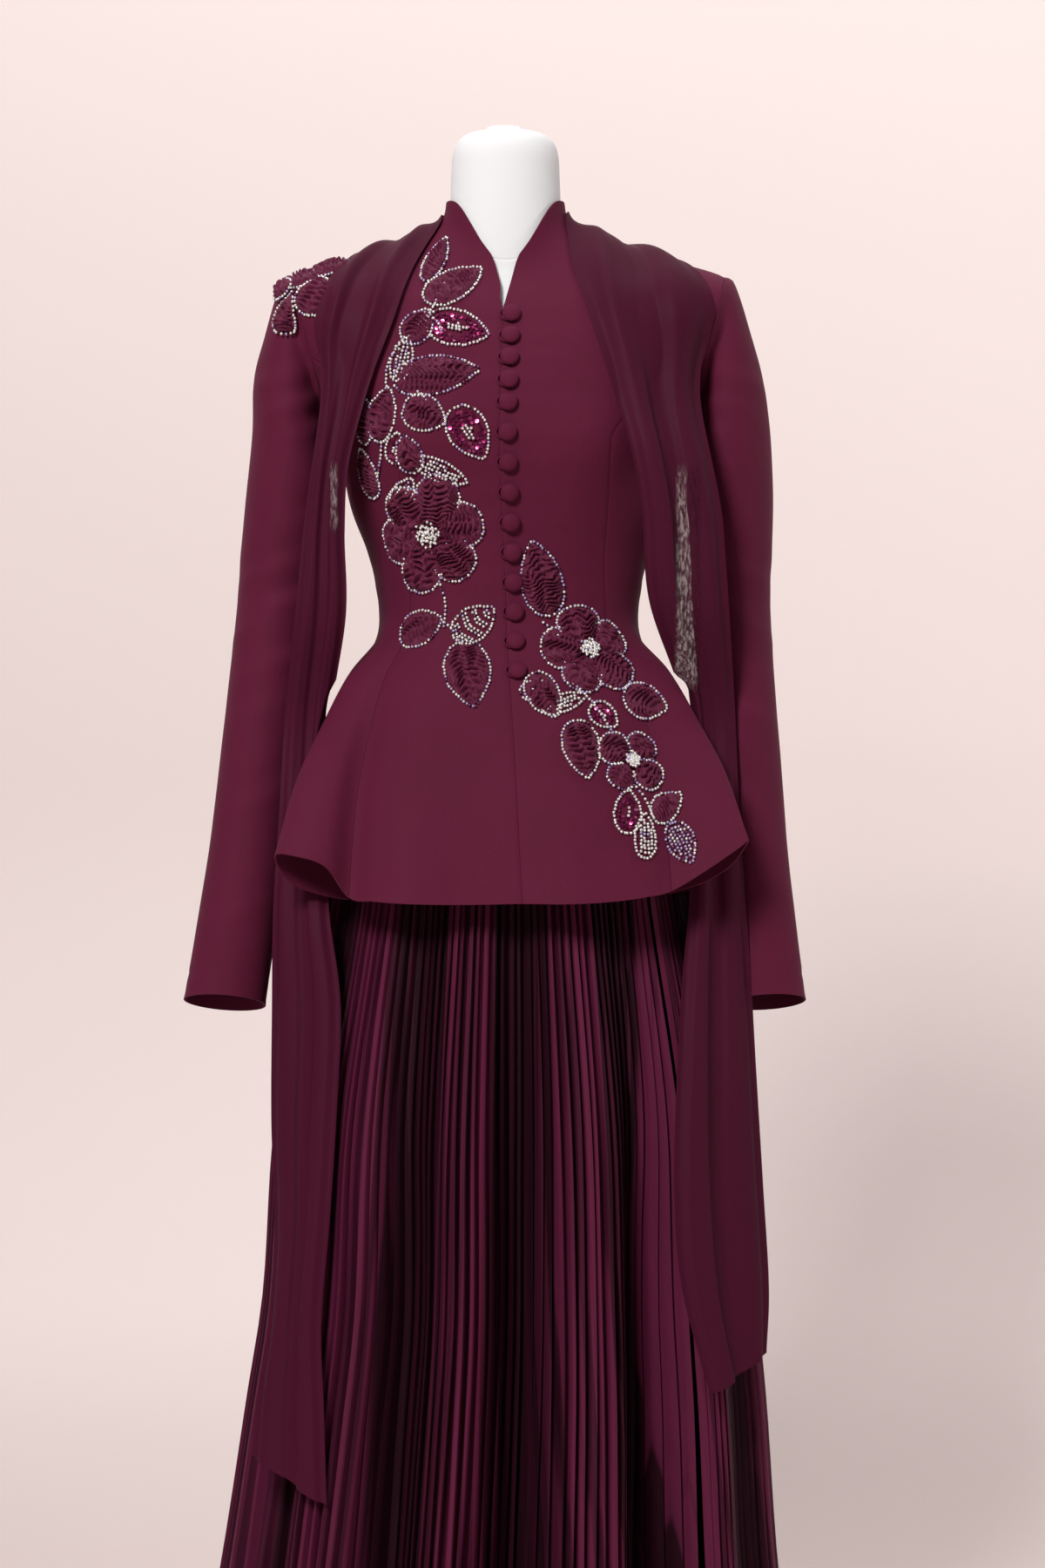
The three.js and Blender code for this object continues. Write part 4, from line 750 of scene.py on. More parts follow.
def rgba(colour, scale=1.0):
    """A colour with full alpha, lighter or darker by a scale."""
    return (*[channel * scale for channel in colour], 1.0)


PLUM_SHEEN = (0.75, 0.28, 0.45, 1.0)
# Ends of a range that a value between 0 and 1 never reaches
BELOW_ALL, ABOVE_ALL = -1.0, 2.0
STEEL_DARK, STEEL_BRIGHT = (0.42, 0.42, 0.43, 1), (0.6, 0.6, 0.61, 1)


def crepe_look(settings):
    """Matt crepe: a fine pebbled grain, faint clouding and a low sheen."""
    look = Look(
        "jacket_crepe", Sheen_Weight=0.06, Sheen_Roughness=0.5, Sheen_Tint=PLUM_SHEEN,
        Specular_IOR_Level=0.1,
    )
    cloud = look.grain(14.0, 4.0)
    fine = look.grain(1500.0, 2.0, 0.6)
    share = (cloud * 0.6 + fine * 0.4).clamp()
    colour = settings.crepe_colour
    look.surface(
        Base_Color=look.blend(share, rgba(colour, 0.82), rgba(colour, 1.18)),
        Roughness=(fine * 0.2 + 0.62).clamp(),
    )
    pebbles, slubs = look.grain(900.0, 3.0, 0.7), look.grain(260.0, 2.0, 0.5, (1, 1, 0.4))
    look.relief(pebbles * 0.7 + slubs * 0.3, 0.0005, 0.5)
    return look.material


def ruche_look(settings):
    """The applique's cloth: lighter and darker in small spots, with fine crinkles."""
    look = Look(
        "ruched_crepe", Sheen_Weight=0.2, Sheen_Roughness=0.4, Sheen_Tint=PLUM_SHEEN,
        Specular_IOR_Level=0.3,
    )
    share = look.grain(420.0, 3.0, 0.6)
    colour = settings.ruche_colour
    look.surface(
        Base_Color=look.blend(share, rgba(colour, 0.7), rgba(colour, 1.35)),
        Roughness=(share * 0.25 + 0.42).clamp(),
    )
    look.relief(look.grain(700.0, 3.0, 0.65), 0.0012, 0.7)
    return look.material


def satin_look(settings):
    """The scarf: thin satin-backed chiffon with a soft gloss, see-through in its sheer patches."""
    look = Look(
        "scarf_satin", Sheen_Weight=0.02, Sheen_Roughness=0.4, Sheen_Tint=PLUM_SHEEN,
        Specular_IOR_Level=0.06,
    )
    cloud = look.grain(9.0, 3.0, 0.5, (1, 1, 0.3))
    colour = settings.satin_colour
    x, z = look.axis("X"), look.axis("Z")
    patches = [
        x.between(left, right, soft) * z.between(low, high, fade)
        for left, right, soft, low, high, fade in SHEER
    ]
    thread = look.grain(420.0, 4.0, 0.7, (1, 1, 0.3)).between(0.5, ABOVE_ALL, 0.1) * 0.4
    look.surface(
        Base_Color=look.blend(cloud, rgba(colour, 0.85), rgba(colour, 1.15)),
        Roughness=(look.grain(30.0, 3.0) * 0.15 + 0.5).clamp(),
        Alpha=(1.0 - (patches[0] + patches[1]) * (0.5 - thread)).clamp(),
    )
    look.relief(look.grain(1300.0, 2.0, 0.6), 0.0002, 0.4)
    return look.material


def chiffon_look(settings):
    """The skirt: sheer matt chiffon, with painted shade in the valleys of its soft folds low down and
    random darker streaks.
    """
    look = Look(
        "pleated_chiffon", Sheen_Weight=0.03, Sheen_Roughness=0.4, Sheen_Tint=PLUM_SHEEN,
        Specular_IOR_Level=0.1,
    )
    turn = look.turn(SKIRT_HALF, SKIRT_DEEP)
    # Painted shade: the colour darkens in the valleys of the soft folds, the same waves as the skirt's
    # shape, below 0.86 m
    phase = (turn - math.radians(SOFT_FOLDS["valley"])) * float(SOFT_FOLDS["count"])
    valley = ((phase + math.pi / 2).sine() * 0.5 + 0.5).between(0.55, ABOVE_ALL, 0.45)
    below = look.axis("Z").between(BELOW_ALL, 0.86, 0.12)
    strip = look.streaks(turn * 26.0, look.axis("Z") * 0.8).between(0.53, ABOVE_ALL, 0.05)
    fine = look.streaks(turn * 90.0, look.axis("Z") * 1.6)
    # Painted fold shade plus random streaks: the more of it, the darker the colour
    fold_shade_and_streaks = (valley * below * 0.75 + strip * 0.5 + fine * 0.4).clamp()
    colour = settings.chiffon_colour
    look.surface(
        Base_Color=look.blend(fold_shade_and_streaks, rgba(colour, 1.5), rgba(colour, 0.18)),
        Roughness=(fine * 0.2 + 0.5).clamp(),
    )
    look.relief(look.grain(1000.0, 2.0, 0.6), 0.0003, 0.4)
    return look.material


def calico_look(settings):
    """The form's cover: plain woven calico."""
    look = Look("form_calico", Sheen_Weight=0.1, Specular_IOR_Level=0.3)
    weave = look.grain(800.0, 2.0, 0.5)
    colour = settings.calico_colour
    look.surface(
        Base_Color=look.blend(look.grain(8.0, 3.0), rgba(colour, 0.95), rgba(colour, 1.0)),
        Roughness=(weave * 0.1 + 0.75).clamp(),
    )
    look.relief(weave, 0.0004, 0.5)
    return look.material


def bead_look(name, colour, roughness, metallic):
    """Glass or foiled beads: bright, with a little unevenness from bead to bead."""
    look = Look(name, Metallic=metallic, Coat_Weight=0.6, Coat_Roughness=0.05)
    tint = look.grain(350.0, 1.0)
    look.surface(
        Base_Color=look.blend(tint, rgba(colour, 0.6), rgba(colour, 1.25)),
        Roughness=(tint * 0.15 + roughness).clamp(),
    )
    return look.material


def metal_look():
    """Brushed steel of the stand."""
    look = Look("stand_steel", Metallic=1.0)
    brushed = look.grain(60.0, 3.0, 0.6, (1, 1, 12))
    look.surface(
        Base_Color=look.blend(brushed, STEEL_DARK, STEEL_BRIGHT),
        Roughness=(brushed * 0.2 + 0.25).clamp(),
    )
    look.relief(brushed, 0.0002, 0.3)
    return look.material


def material(name, maker, *details):
    """The material of that name, made on first use."""
    return bpy.data.materials.get(name) or maker(*details)


class GownSettings(bpy.types.PropertyGroup):
    """Colours and sizes of the gown."""

    crepe_colour: FloatVectorProperty(
        name="Crepe", description="Colour of the jacket and sleeves", subtype="COLOR",
        default=(0.109, 0.0100, 0.034), min=0, max=1,
    )
    ruche_colour: FloatVectorProperty(
        name="Ruched cloth", description="Colour of the leaves and petals", subtype="COLOR",
        default=(0.126, 0.0095, 0.041), min=0, max=1,
    )
    satin_colour: FloatVectorProperty(
        name="Scarf", description="Colour of the scarf", subtype="COLOR",
        default=(0.066, 0.0068, 0.023), min=0, max=1,
    )
    chiffon_colour: FloatVectorProperty(
        name="Skirt", description="Colour of the pleated skirt", subtype="COLOR",
        default=(0.092, 0.010, 0.034), min=0, max=1,
    )
    calico_colour: FloatVectorProperty(
        name="Form cover", description="Colour of the dress form", subtype="COLOR",
        default=(0.90, 0.89, 0.89), min=0, max=1,
    )
    bead_diameter: FloatProperty(
        name="Bead", description="Diameter of one bead", subtype="DISTANCE", unit="LENGTH",
        default=0.0030, min=0.001, max=0.006,
    )
    bead_spacing: FloatProperty(
        name="Bead spacing", description="Distance between beads along a line", subtype="DISTANCE",
        unit="LENGTH", default=0.0034, min=0.001, max=0.02,
    )
    cloth_step: FloatProperty(
        name="Cloth step", description="Distance between rows of points on the jacket",
        subtype="DISTANCE", unit="LENGTH", default=0.006, min=0.001, max=0.05,
    )


class StageSettings(bpy.types.PropertyGroup):
    """Colour of the room and strength of its lights."""

    floor_colour: FloatVectorProperty(
        name="Floor", description="Colour of the floor and backdrop", subtype="COLOR",
        default=(0.87, 0.755, 0.73), min=0, max=1,
    )
    key_power: FloatProperty(
        name="Key light", description="Power of the large soft light at the front", subtype="POWER",
        unit="POWER", default=130.0, min=0,
    )
    fill_power: FloatProperty(
        name="Fill light", description="Power of the light on the other side", subtype="POWER",
        unit="POWER", default=7.0, min=0,
    )
    wall_power: FloatProperty(
        name="Wall light", description="Power of the light on the backdrop", subtype="POWER",
        unit="POWER", default=47.0, min=0,
    )


# Jacket
def neckline_ring(angle):
    """The ring at which the front ends, a smooth curve through the rows of the neckline."""
    return curves(NECKLINE, "angle", np.abs(angle))["ring"]


def collar_ring(angle):
    """The ring at which the back ends, the collar's own."""
    return np.full_like(angle, COLLAR_RING)


def seam_angle(seam, ring):
    """A plain seam keeps its angle; a princess seam follows its rows up to the shoulder seam."""
    if isinstance(seam, dict):
        return np.where(ring > YOKE_RING, 90.0, np.interp(ring, seam["ring"], seam["angle"]))
    return np.full_like(ring, seam)


def jacket_creases(p, angle):
    """Waves at the sides of the waist, pulls at the arm and between the buttons, and unevenness."""
    w, d, b, n = WAIST_CREASES, ARM_PULLS, BUTTON_PULLS, UNEVEN
    x, y, z = p[..., 0], p[..., 1], p[..., 2]
    waist = bump_at(z, w["z"], w["rise"]) * np.sin(z / w["pitch"] + angle / w["slant"])
    near_side = bump_at(np.abs(angle), w["angle"], w["reach"])
    drag = bump_at(z, d["z"], d["rise"]) * bump_at(np.abs(angle), d["angle"], d["reach"])
    pull = drag * np.sin((z - np.abs(x)) / d["pitch"])
    cloth = noise(x / n["across"], y / n["across"], z / n["up"], n["seed"])
    rows = np.interp(z, BUTTON_ROWS[::-1], np.arange(len(BUTTON_ROWS))[::-1])
    tension = np.cos(2 * np.pi * rows) * bump_at(angle, b["angle"], b["reach"])
    tension = tension * bump_at(z, b["z"], b["rise"])
    return w["deep"] * waist * near_side + d["deep"] * pull + n["deep"] * cloth + b["deep"] * tension


def jacket_panel(side, low_seam, high_seam, top_of, columns, step):
    """A grid between two seams: even rows up, columns crowded at the seams, where the edges dip in."""
    share = np.linspace(0, 1, columns)
    share = (1 - SEAM["crowd"]) * share + SEAM["crowd"] * (0.5 - 0.5 * np.cos(np.pi * share))
    last = float(COLLAR_RING) if top_of else YOKE_RING

    def angles_of(ring):
        low, high = (seam_angle(seam, ring)[:, None] for seam in (low_seam, high_seam))
        at = ring[:, None]
        pace = np.linalg.norm(jacket_point(high, at) - jacket_point(low, at), axis=-1)
        pace = np.maximum(SEAM["least_pace"], pace / np.maximum(1, high - low))
        gap = SEAM["gap"] / pace
        return low + gap + (high - low - 2 * gap) * share, pace

    def place(ring):
        angle, pace = angles_of(ring)
        at = np.broadcast_to(ring[:, None], angle.shape)
        if top_of:
            to_top = mix(YOKE_RING, top_of(angle), (at - YOKE_RING) / (last - YOKE_RING))
            at = np.where(at > YOKE_RING, to_top, at)
        return angle, at, pace

    def middle_line(ring):
        angle, at, _ = place(ring)
        return jacket_point(side * angle[:, columns // 2], at[:, columns // 2])

    ring = even_rows(middle_line, 0.0, last, step)
    angle, at, pace = place(ring)
    p = jacket_point(side * angle, at)
    edge = np.minimum(angle - angle[:, :1], angle[:, -1:] - angle) * pace
    dip = SEAM["dip"] * bump_at(edge, 0, SEAM["reach"])
    lift = jacket_creases(p, side * angle) * (1 - bump_at(edge, 0, SEAM["flat"])) - dip
    p = p + JACKET.normal(side * angle, at) * lift[..., None]
    return p if side > 0 else p[:, ::-1]


# Each panel: the seams on both sides, the ring that it ends at above the yoke, columns of points
PANELS = {
    "front": (0.0, FRONT_SEAM, neckline_ring, 44),
    "side_front": (FRONT_SEAM, 90.0, None, 36),
    "side_back": (90.0, BACK_SEAM, None, 32),
    "back": (BACK_SEAM, 180.0, collar_ring, 40),
}


def trim_armhole(mesh, side):
    """Cuts away what lies outside the armhole plane, from a millimetre below the pit upwards."""
    _, pit, up, out = armhole_frame(side)
    bm = bmesh.new()
    bm.from_mesh(mesh)
    centre, rise = Vector(pit * MM), Vector(up)
    above = [f for f in bm.faces if (f.calc_center_median() - centre).dot(rise) > -MM]
    geometry = {v for f in above for v in f.verts} | {e for f in above for e in f.edges} | set(above)
    bmesh.ops.bisect_plane(
        bm, geom=list(geometry), plane_co=centre, plane_no=Vector(out), clear_outer=True
    )
    bm.to_mesh(mesh)
    bm.free()


def thicken(piece, thickness):
    """Gives a piece its wall on the inside, and keeps it as plain mesh."""
    solid = piece.modifiers.new("wall", "SOLIDIFY")
    solid.thickness = thickness * MM
    solid.offset = -1
    ready = piece.evaluated_get(bpy.context.evaluated_depsgraph_get())
    mesh = bpy.data.meshes.new_from_object(ready)
    piece.modifiers.clear()
    piece.data = mesh
    mesh.shade_smooth()
    mesh.set_sharp_from_angle(angle=math.radians(SHARP))


class GOWN_OT_jacket(bpy.types.Operator):
    """Makes the eight panels of the jacket."""

    bl_idname = "gown.jacket"
    bl_label = "Jacket"

    def execute(self, context):
        settings = context.scene.gown
        look = material("jacket_crepe", crepe_look, settings)
        step = settings.cloth_step / MM
        for side, word in ((1, "left"), (-1, "right")):
            for panel, (low, high, top_of, columns) in PANELS.items():
                node = f"jacket_{panel}_{word}"
                grid = jacket_panel(side, low, high, top_of, columns, step)
                mesh = mesh_of(f"crepe_{panel}_{word}", grid, grid_faces(*grid.shape[:2]))
                trim_armhole(mesh, side)
                piece = add_piece(f"crepe_{panel}_{word}", mesh, look, [node])
                thicken(piece, JACKET_WALL)
                width, length, _ = cut_size(grid)
        return {"FINISHED"}


# Sleeves
def sleeve_grid(side, rows, turns):
    """The armhole outline, then ovals from the outer to the inner point of each row down the arm."""
    top, pit, up, out = armhole_frame(side)
    middle = mix(top, pit, 0.5)
    forward = np.array([0.0, -1.0, 0.0])
    way = np.cos(turns)[:, None] * up + np.sin(turns)[:, None] * forward
    low = np.full(len(turns), ARMHOLE_SEARCH["least"])
    high = np.full(len(turns), ARMHOLE_SEARCH["most"])
    for _ in range(ARMHOLE_SEARCH["halvings"]):
        radius = (low + high) / 2
        q = middle + way * radius[:, None]
        u, v = JACKET.nearest(q)
        outside = dots(q - jacket_point(u, v), JACKET.normal(u, v))[:, 0] > 0
        low, high = np.where(outside, low, radius), np.where(outside, radius, high)
    half_height = np.linalg.norm(top - pit) / 2
    oval = 1 / np.hypot(np.cos(turns) / half_height, np.sin(turns) / rows["depth"][0])
    excess = low / oval
    rings = [middle + way * low[:, None] + out * SLEEVE_GRID["seam_gap"]]
    for k in range(len(rows["mid"])):
        outer = np.array([side * rows["out_x"][k], rows["mid"][k], rows["out_z"][k]])
        inner = np.array([side * rows["in_x"][k], rows["mid"][k], rows["in_z"][k]])
        ease = np.clip(1 - (k + 1) / SLEEVE_GRID["cap_rows"], 0, 1)
        grow = mix(1.0, excess, ease * ease * (3 - 2 * ease))
        ring = mix(outer, inner, 0.5) + ((outer - inner) / 2) * (np.cos(turns) * grow)[:, None]
        ring = ring + forward * (np.sin(turns) * rows["depth"][k] * grow)[:, None]
        ring[:, 2] += rows["tilt"][k] / 2 * np.sin(turns)
        rings.append(ring)
    return np.array(rings)


def smooth_rows(rings, at):
    """A cubic through each column of a stack of rings, at row numbers that need not be whole."""
    number = np.arange(len(rings), dtype=float)
    flat = rings.reshape(len(rings), -1)
    last = len(number) - 1
    i = np.clip(np.floor(at).astype(int), 0, last - 1)
    slope = np.gradient(flat, axis=0)
    s = (at - i)[:, None]
    s2, s3 = s * s, s * s * s
    p = (2 * s3 - 3 * s2 + 1) * flat[i] + (3 * s2 - 2 * s3) * flat[i + 1]
    p += (s3 - 2 * s2 + s) * slope[i] + (s3 - s2) * slope[i + 1]
    return p.reshape(len(at), *rings.shape[1:])


def sleeve_surface(side, rows):
    """The sleeve's fine grid, rows from cuff to armhole, with its creases and a turned cuff edge."""
    columns = SLEEVE_GRID["columns"]
    turns = 2 * np.pi * np.arange(columns) / columns
    rings = sleeve_grid(side, rows, turns)[::-1]
    last = len(rings) - 1.0
    at = even_rows(lambda t: smooth_rows(rings[:, :1], t)[:, 0], 0.0, last, SLEEVE_GRID["step"])
    grid = smooth_rows(rings, at)
    degrees = (np.degrees(turns) + 180) % 360 - 180
    lift = np.zeros(grid.shape[:2])
    for z, turn, rise, reach, deep in SLEEVE_CREASES:
        gap = (degrees[None] - turn + 180) % 360 - 180
        slant = grid[..., 2] - z - gap * CREASE["slant"]
        hollow = CREASE["hollow"] * bump_at(slant, rise * CREASE["after"], rise)
        lift += deep * bump_at(gap, 0, reach) * (bump_at(slant, 0, rise) - hollow)
    n = SLEEVE_UNEVEN
    x, y, z = (grid[..., axis] for axis in range(3))
    lift += n["deep"] * noise(x / n["across"], y / n["across"], z / n["up"], n["seed"][side])
    lift *= np.clip((last - at) / CREASE["fade"], 0, 1)[:, None]
    above_cuff = np.linalg.norm(grid - grid[:1], axis=-1)
    edge = bump_at(above_cuff, 0, CUFF["edge"])
    stitch = bump_at(above_cuff, CUFF["stitch"], CUFF["stitch_width"])
    lift += CUFF["deep"] * edge - CUFF["deep"] * stitch
    if side > 0:
        grid, lift = grid[:, ::-1], lift[:, ::-1]
    normals = grid_normals(grid, True)
    row = len(grid) // 4
    outward = np.sign(dots(normals[row, 0], grid[row, 0] - grid[row].mean(0)))[0]
    return grid + normals * outward * lift[..., None]


class GOWN_OT_sleeves(bpy.types.Operator):
    """Makes the two set-in sleeves."""

    bl_idname = "gown.sleeves"
    bl_label = "Sleeves"

    def execute(self, context):
        look = material("jacket_crepe", crepe_look, context.scene.gown)
        for side, word, rows in ((1, "left", SLEEVE_LEFT), (-1, "right", SLEEVE_RIGHT)):
            grid = sleeve_surface(side, rows)
            cloth_wall(
                f"crepe_sleeve_{word}", grid, JACKET_WALL, look, [f"sleeve_{word}"], "hung",
                closed=True,
            )
        return {"FINISHED"}


# Buttons
def lathe_shape(radius, height, sides):
    """Rings of a profile turned round z: cosine and sine of the turn times the radius."""
    turn = 2 * np.pi * np.arange(sides) / sides
    x, y = np.cos(turn)[None] * radius[:, None], np.sin(turn)[None] * radius[:, None]
    return np.stack([x, y, np.broadcast_to(height[:, None], x.shape)], -1)


def stand_on(points, place, normal):
    """Turns points from z up to a normal and carries them to a place."""
    across = unit(np.cross([0, 0, 1], normal))
    axes = np.stack([across, np.cross(normal, across), normal])
    return points @ axes + place


def merge_shapes(shapes):
    """One list of points and one of faces from several."""
    points, faces, count = [], [], 0
    for p, f in shapes:
        points.append(p.reshape(-1, 3))
        faces.append(f + count)
        count += len(points[-1])
    return np.concatenate(points), np.concatenate(faces)


def button_places():
    """Each button's point and normal beside the front edge."""
    rings = np.linspace(*BUTTON_RINGS)
    edge = jacket_point(np.zeros_like(rings), rings)
    edge_x = np.interp(BUTTON_ROWS, edge[:, 2], edge[:, 0])
    edge_y = np.interp(BUTTON_ROWS, edge[:, 2], edge[:, 1])
    q = np.stack([edge_x + BUTTON["beside"], edge_y, BUTTON_ROWS], -1)
    u, v = JACKET.nearest(q)
    return jacket_point(u, v), JACKET.normal(u, v)


class GOWN_OT_buttons(bpy.types.Operator):
    """Makes the fourteen covered buttons and their loops."""

    bl_idname = "gown.buttons"
    bl_label = "Buttons"

    def execute(self, context):
        look = material("jacket_crepe", crepe_look, context.scene.gown)
        places, normals = button_places()
        dome, faces = self.dome()
        shapes = [(stand_on(dome, p, n), faces) for p, n in zip(places, normals, strict=True)]
        points, all_faces = merge_shapes(shapes)
        mesh = mesh_of("covered_buttons", points, all_faces, 60, weld=True)
        names = [f"button_{k + 1:02d}" for k in range(len(places))]
        add_piece("covered_buttons", mesh, look, names)
        self.add_loops(places, normals, look)
        return {"FINISHED"}

    def dome(self):
        """One button: a straight foot, a rim that turns out, and a dome of a quarter turn of an oval."""
        b = BUTTON
        r, base = b["diameter"] / 2, b["sit"] + b["rim_high"]
        bend = np.linspace(0, np.pi / 2, b["rings"])
        radius = np.concatenate([[0.0, b["foot"], b["foot"], r * b["rim"]], r * np.cos(bend)])
        radius[-1] = 0.0
        foot = [b["under"], b["under"], b["sit"] + b["foot_top"], b["sit"] + b["rim_low"]]
        height = np.concatenate([foot, base + (b["height"] - base) * np.sin(bend)])
        return lathe_shape(radius, height, b["sides"]), grid_faces(len(radius), b["sides"], closed=True)

    def add_loops(self, places, normals, look):
        """A rouleau loop round each button's shank: an open oval of thin tube."""
        long, wide, sides = LOOP["half_long"], LOOP["half_wide"], LOOP["sides"]
        reach = LOOP["turn"] * np.pi
        turn = np.linspace(-reach, reach, LOOP["points"]) + np.pi
        around = 2 * np.pi * np.arange(sides) / sides
        level = np.full(len(turn), LOOP["height"])
        line = np.stack([long * np.cos(turn) - LOOP["back"], wide * np.sin(turn), level], -1)
        out = unit(np.stack([np.cos(turn) / long, np.sin(turn) / wide, 0 * turn], -1))[:, None]
        c, s = np.cos(around)[None, :, None], np.sin(around)[None, :, None]
        tube = line[:, None] + LOOP["radius"] * (c * out + s * np.array([0, 0, 1]))
        rings = grid_faces(len(turn), sides, closed=True, turned=True)
        shapes = [(stand_on(tube, p, n), rings) for p, n in zip(places, normals, strict=True)]
        points, faces = merge_shapes(shapes)
        add_piece("button_loops", mesh_of("button_loops", points, faces, 80), look)


# Applique
def leaf_half_width(s, width, taper=TAPER["leaf"]):
    """Half the width along the axis, from -1 at the stem to 1 at the tip, fullest nearer the stem."""
    return width / 2 * np.maximum(0, 1 - s * s) ** (0.7 + 0.2 * s) * (1 - taper * s)


def leaned(along, wide, lean, start=(0.0, 0.0)):
    """Flat points turned by a leaf's lean and moved to where it starts."""
    turn = np.radians(lean)
    x = start[0] + along * np.cos(turn) - wide * np.sin(turn)
    z = start[1] + along * np.sin(turn) + wide * np.cos(turn)
    return x, z


def ruffles(a, b, seed):
    """Gathers one pitch apart, pushed aside by two sizes of noise, with crests that come and go.

    A slanting second set of gathers fills in where the crests of the first are low.
    """
    seed = int(10 * seed)
    g, wide, small = GATHERS, GATHERS["wide"], GATHERS["small"]
    wander = g["far"] * noise(a / wide[0], b / wide[1], 0 * a, seed)
    wander = wander + g["near"] * noise(a / small[0], b / small[1], 0 * a + 7, seed)
    gathered = np.abs(np.sin(np.pi * (a + wander))) ** g["round"]
    k = SECOND_SET
    slant = k["along"] * a - k["across"] * b + k["follow"] * wander + seed
    second = k["high"] * np.abs(np.sin(np.pi * slant)) ** g["round"]
    drift = CRESTS["drift"] * noise(a / CRESTS["size"], b / CRESTS["size"], 0 * a + 3, seed)
    crest = 0.5 + 0.5 * np.sin(CRESTS["rate"] * b + drift)
    return np.maximum(gathered * (g["least"] + (1 - g["least"]) * crest), second * (1 - crest))


def leaf_patch(length, width, lean, seed, start=(0.0, 0.0), taper=TAPER["leaf"]):
    """Two flat coordinates and a height on a grid: a low dome under gathers, scalloped at its edge."""
    s = np.linspace(-1, 1, int(length / RUCHE["grain"]))[None]
    t = np.linspace(-1, 1, int(width / RUCHE["grain"]))[:, None]
    along = s * length / 2 + 0 * t
    wide = t * np.maximum(leaf_half_width(s, width, taper), RUCHE["least"])
    a, b = along / RUCHE["pitch"], wide / RUCHE["pitch"]
    inside = np.clip(1 - np.abs(t) ** 5, 0, 1) * np.clip(1 - s**6, 0, 1)
    dome = RUCHE["middle"] * (1 - t * t) * (1 - s * s)
    height = RUCHE["edge"] + inside * (dome + RUCHE["ruffle"] * ruffles(a, b, seed))
    scallop = 1.0
    for deep, rate, share in SCALLOPS:
        scallop = scallop + deep * np.sin(rate * a + share * seed)
    return *leaned(along, wide * scallop, lean, start), height


def patch_shape(surface, place, patch, lift):
    """A patch laid on a surface, closed underneath by rings that draw in to its middle."""
    x, z, height = patch
    u, v = surface.drop_grid(place, x, z)
    top = surface.lift(u, v, lift + height)
    rows, columns = x.shape
    count = rows * columns
    rim = rim_of(np.arange(count).reshape(rows, columns))
    share = UNDER_RINGS[:, None]
    floor_u, floor_v = (mix(g.mean(), rim_of(g)[None], share) for g in (u, v))
    floor = surface.lift(floor_u, floor_v, lift + 0 * floor_u)
    rings = count + np.arange(floor_u.size).reshape(floor_u.shape)
    ring = np.concatenate([rim[None], rings])
    ring = np.concatenate([ring, ring[:, :1]], axis=1)
    under = np.stack([ring[1:, :-1], ring[1:, 1:], ring[:-1, 1:], ring[:-1, :-1]], -1).reshape(-1, 4)
    points = np.concatenate([top.reshape(-1, 3), floor.reshape(-1, 3)])
    return points, np.concatenate([grid_faces(rows, columns), under])


def petals_of(flower):
    """Length, width, lean and start of each petal, spread evenly round the middle."""
    petals = []
    radius, count = flower["radius"], flower["petals"]
    for k in range(count):
        lean = flower["turn"] + 360 * k / count
        uneven = PETAL["uneven"] * math.sin(PETAL["rate"] * k + flower["turn"])
        length = radius * (PETAL["length"] + uneven)
        reach = PETAL["reach"] * radius
        start = (reach * math.cos(math.radians(lean)), reach * math.sin(math.radians(lean)))
        width = 2 * radius * math.sin(math.pi / count) * PETAL["width"]
        petals.append((length, min(width, length * PETAL["most"]), lean + 180, start))
    return petals


def surfaces_for_applique():
    """The jacket and the right sleeve, as surfaces to lay things on."""
    grid = sleeve_surface(-1, SLEEVE_RIGHT)
    rows, columns = grid.shape[:2]

    def point(u, v):
        """A straight mix of the four points round a place in the grid."""
        u, v = np.broadcast_arrays(u, v)
        r = np.clip(np.floor(v).astype(int), 0, rows - 2)
        c = np.floor(u).astype(int)
        a, b = (u - c)[..., None], (v - r)[..., None]
        low = mix(grid[r, c % columns], grid[r, (c + 1) % columns], a)
        high = mix(grid[r + 1, c % columns], grid[r + 1, (c + 1) % columns], a)
        return mix(low, high, b)

    us, vs = np.linspace(0, columns - 0.5, columns * 2), np.linspace(rows * 0.5, rows - 1, 90)
    return {"jacket": JACKET, "sleeve": Surface(point, us, vs, 0.5, 0.5, (1.0, rows - 1.0))}


class GOWN_OT_applique(bpy.types.Operator):
    """Makes the ruched leaves and flowers."""

    bl_idname = "gown.applique"
    bl_label = "Ruched leaves and flowers"

    def execute(self, context):
        look = material("ruched_crepe", ruche_look, context.scene.gown)
        surfaces = surfaces_for_applique()
        for k, leaf in enumerate(LEAVES):
            if leaf["work"] != "ruched":
                continue
            patch = leaf_patch(leaf["length"], leaf["width"], leaf["angle"], SEEDS["leaf"] * k)
            self.add([patch], leaf, surfaces, look)
        for k, flower in enumerate(FLOWERS):
            patches = []
            for j, (length, width, lean, start) in enumerate(petals_of(flower)):
                seed = SEEDS["flower"] * k + SEEDS["petal"] * j
                patches.append(leaf_patch(length, width, lean, seed, start, TAPER["petal"]))
            self.add(patches, flower, surfaces, look)
        return {"FINISHED"}

    def add(self, patches, motif, surfaces, look):
        """One piece from its patches, which takes the place of its solid where it has one."""
        name = f"ruched_{motif['name']}"
        surface, lift = surfaces[motif["on"]], LIFT[motif["on"]]
        place = (motif["x"], motif["y"], motif["z"])
        shapes = [patch_shape(surface, place, patch, lift) for patch in patches]
        points, faces = merge_shapes(shapes)
        mesh = mesh_of(name, points, faces, 80, weld=True)
        solids = [motif["name"]] if motif["name"].startswith(("leaf_", "flower_")) else []
        piece = add_piece(name, mesh, look, solids)


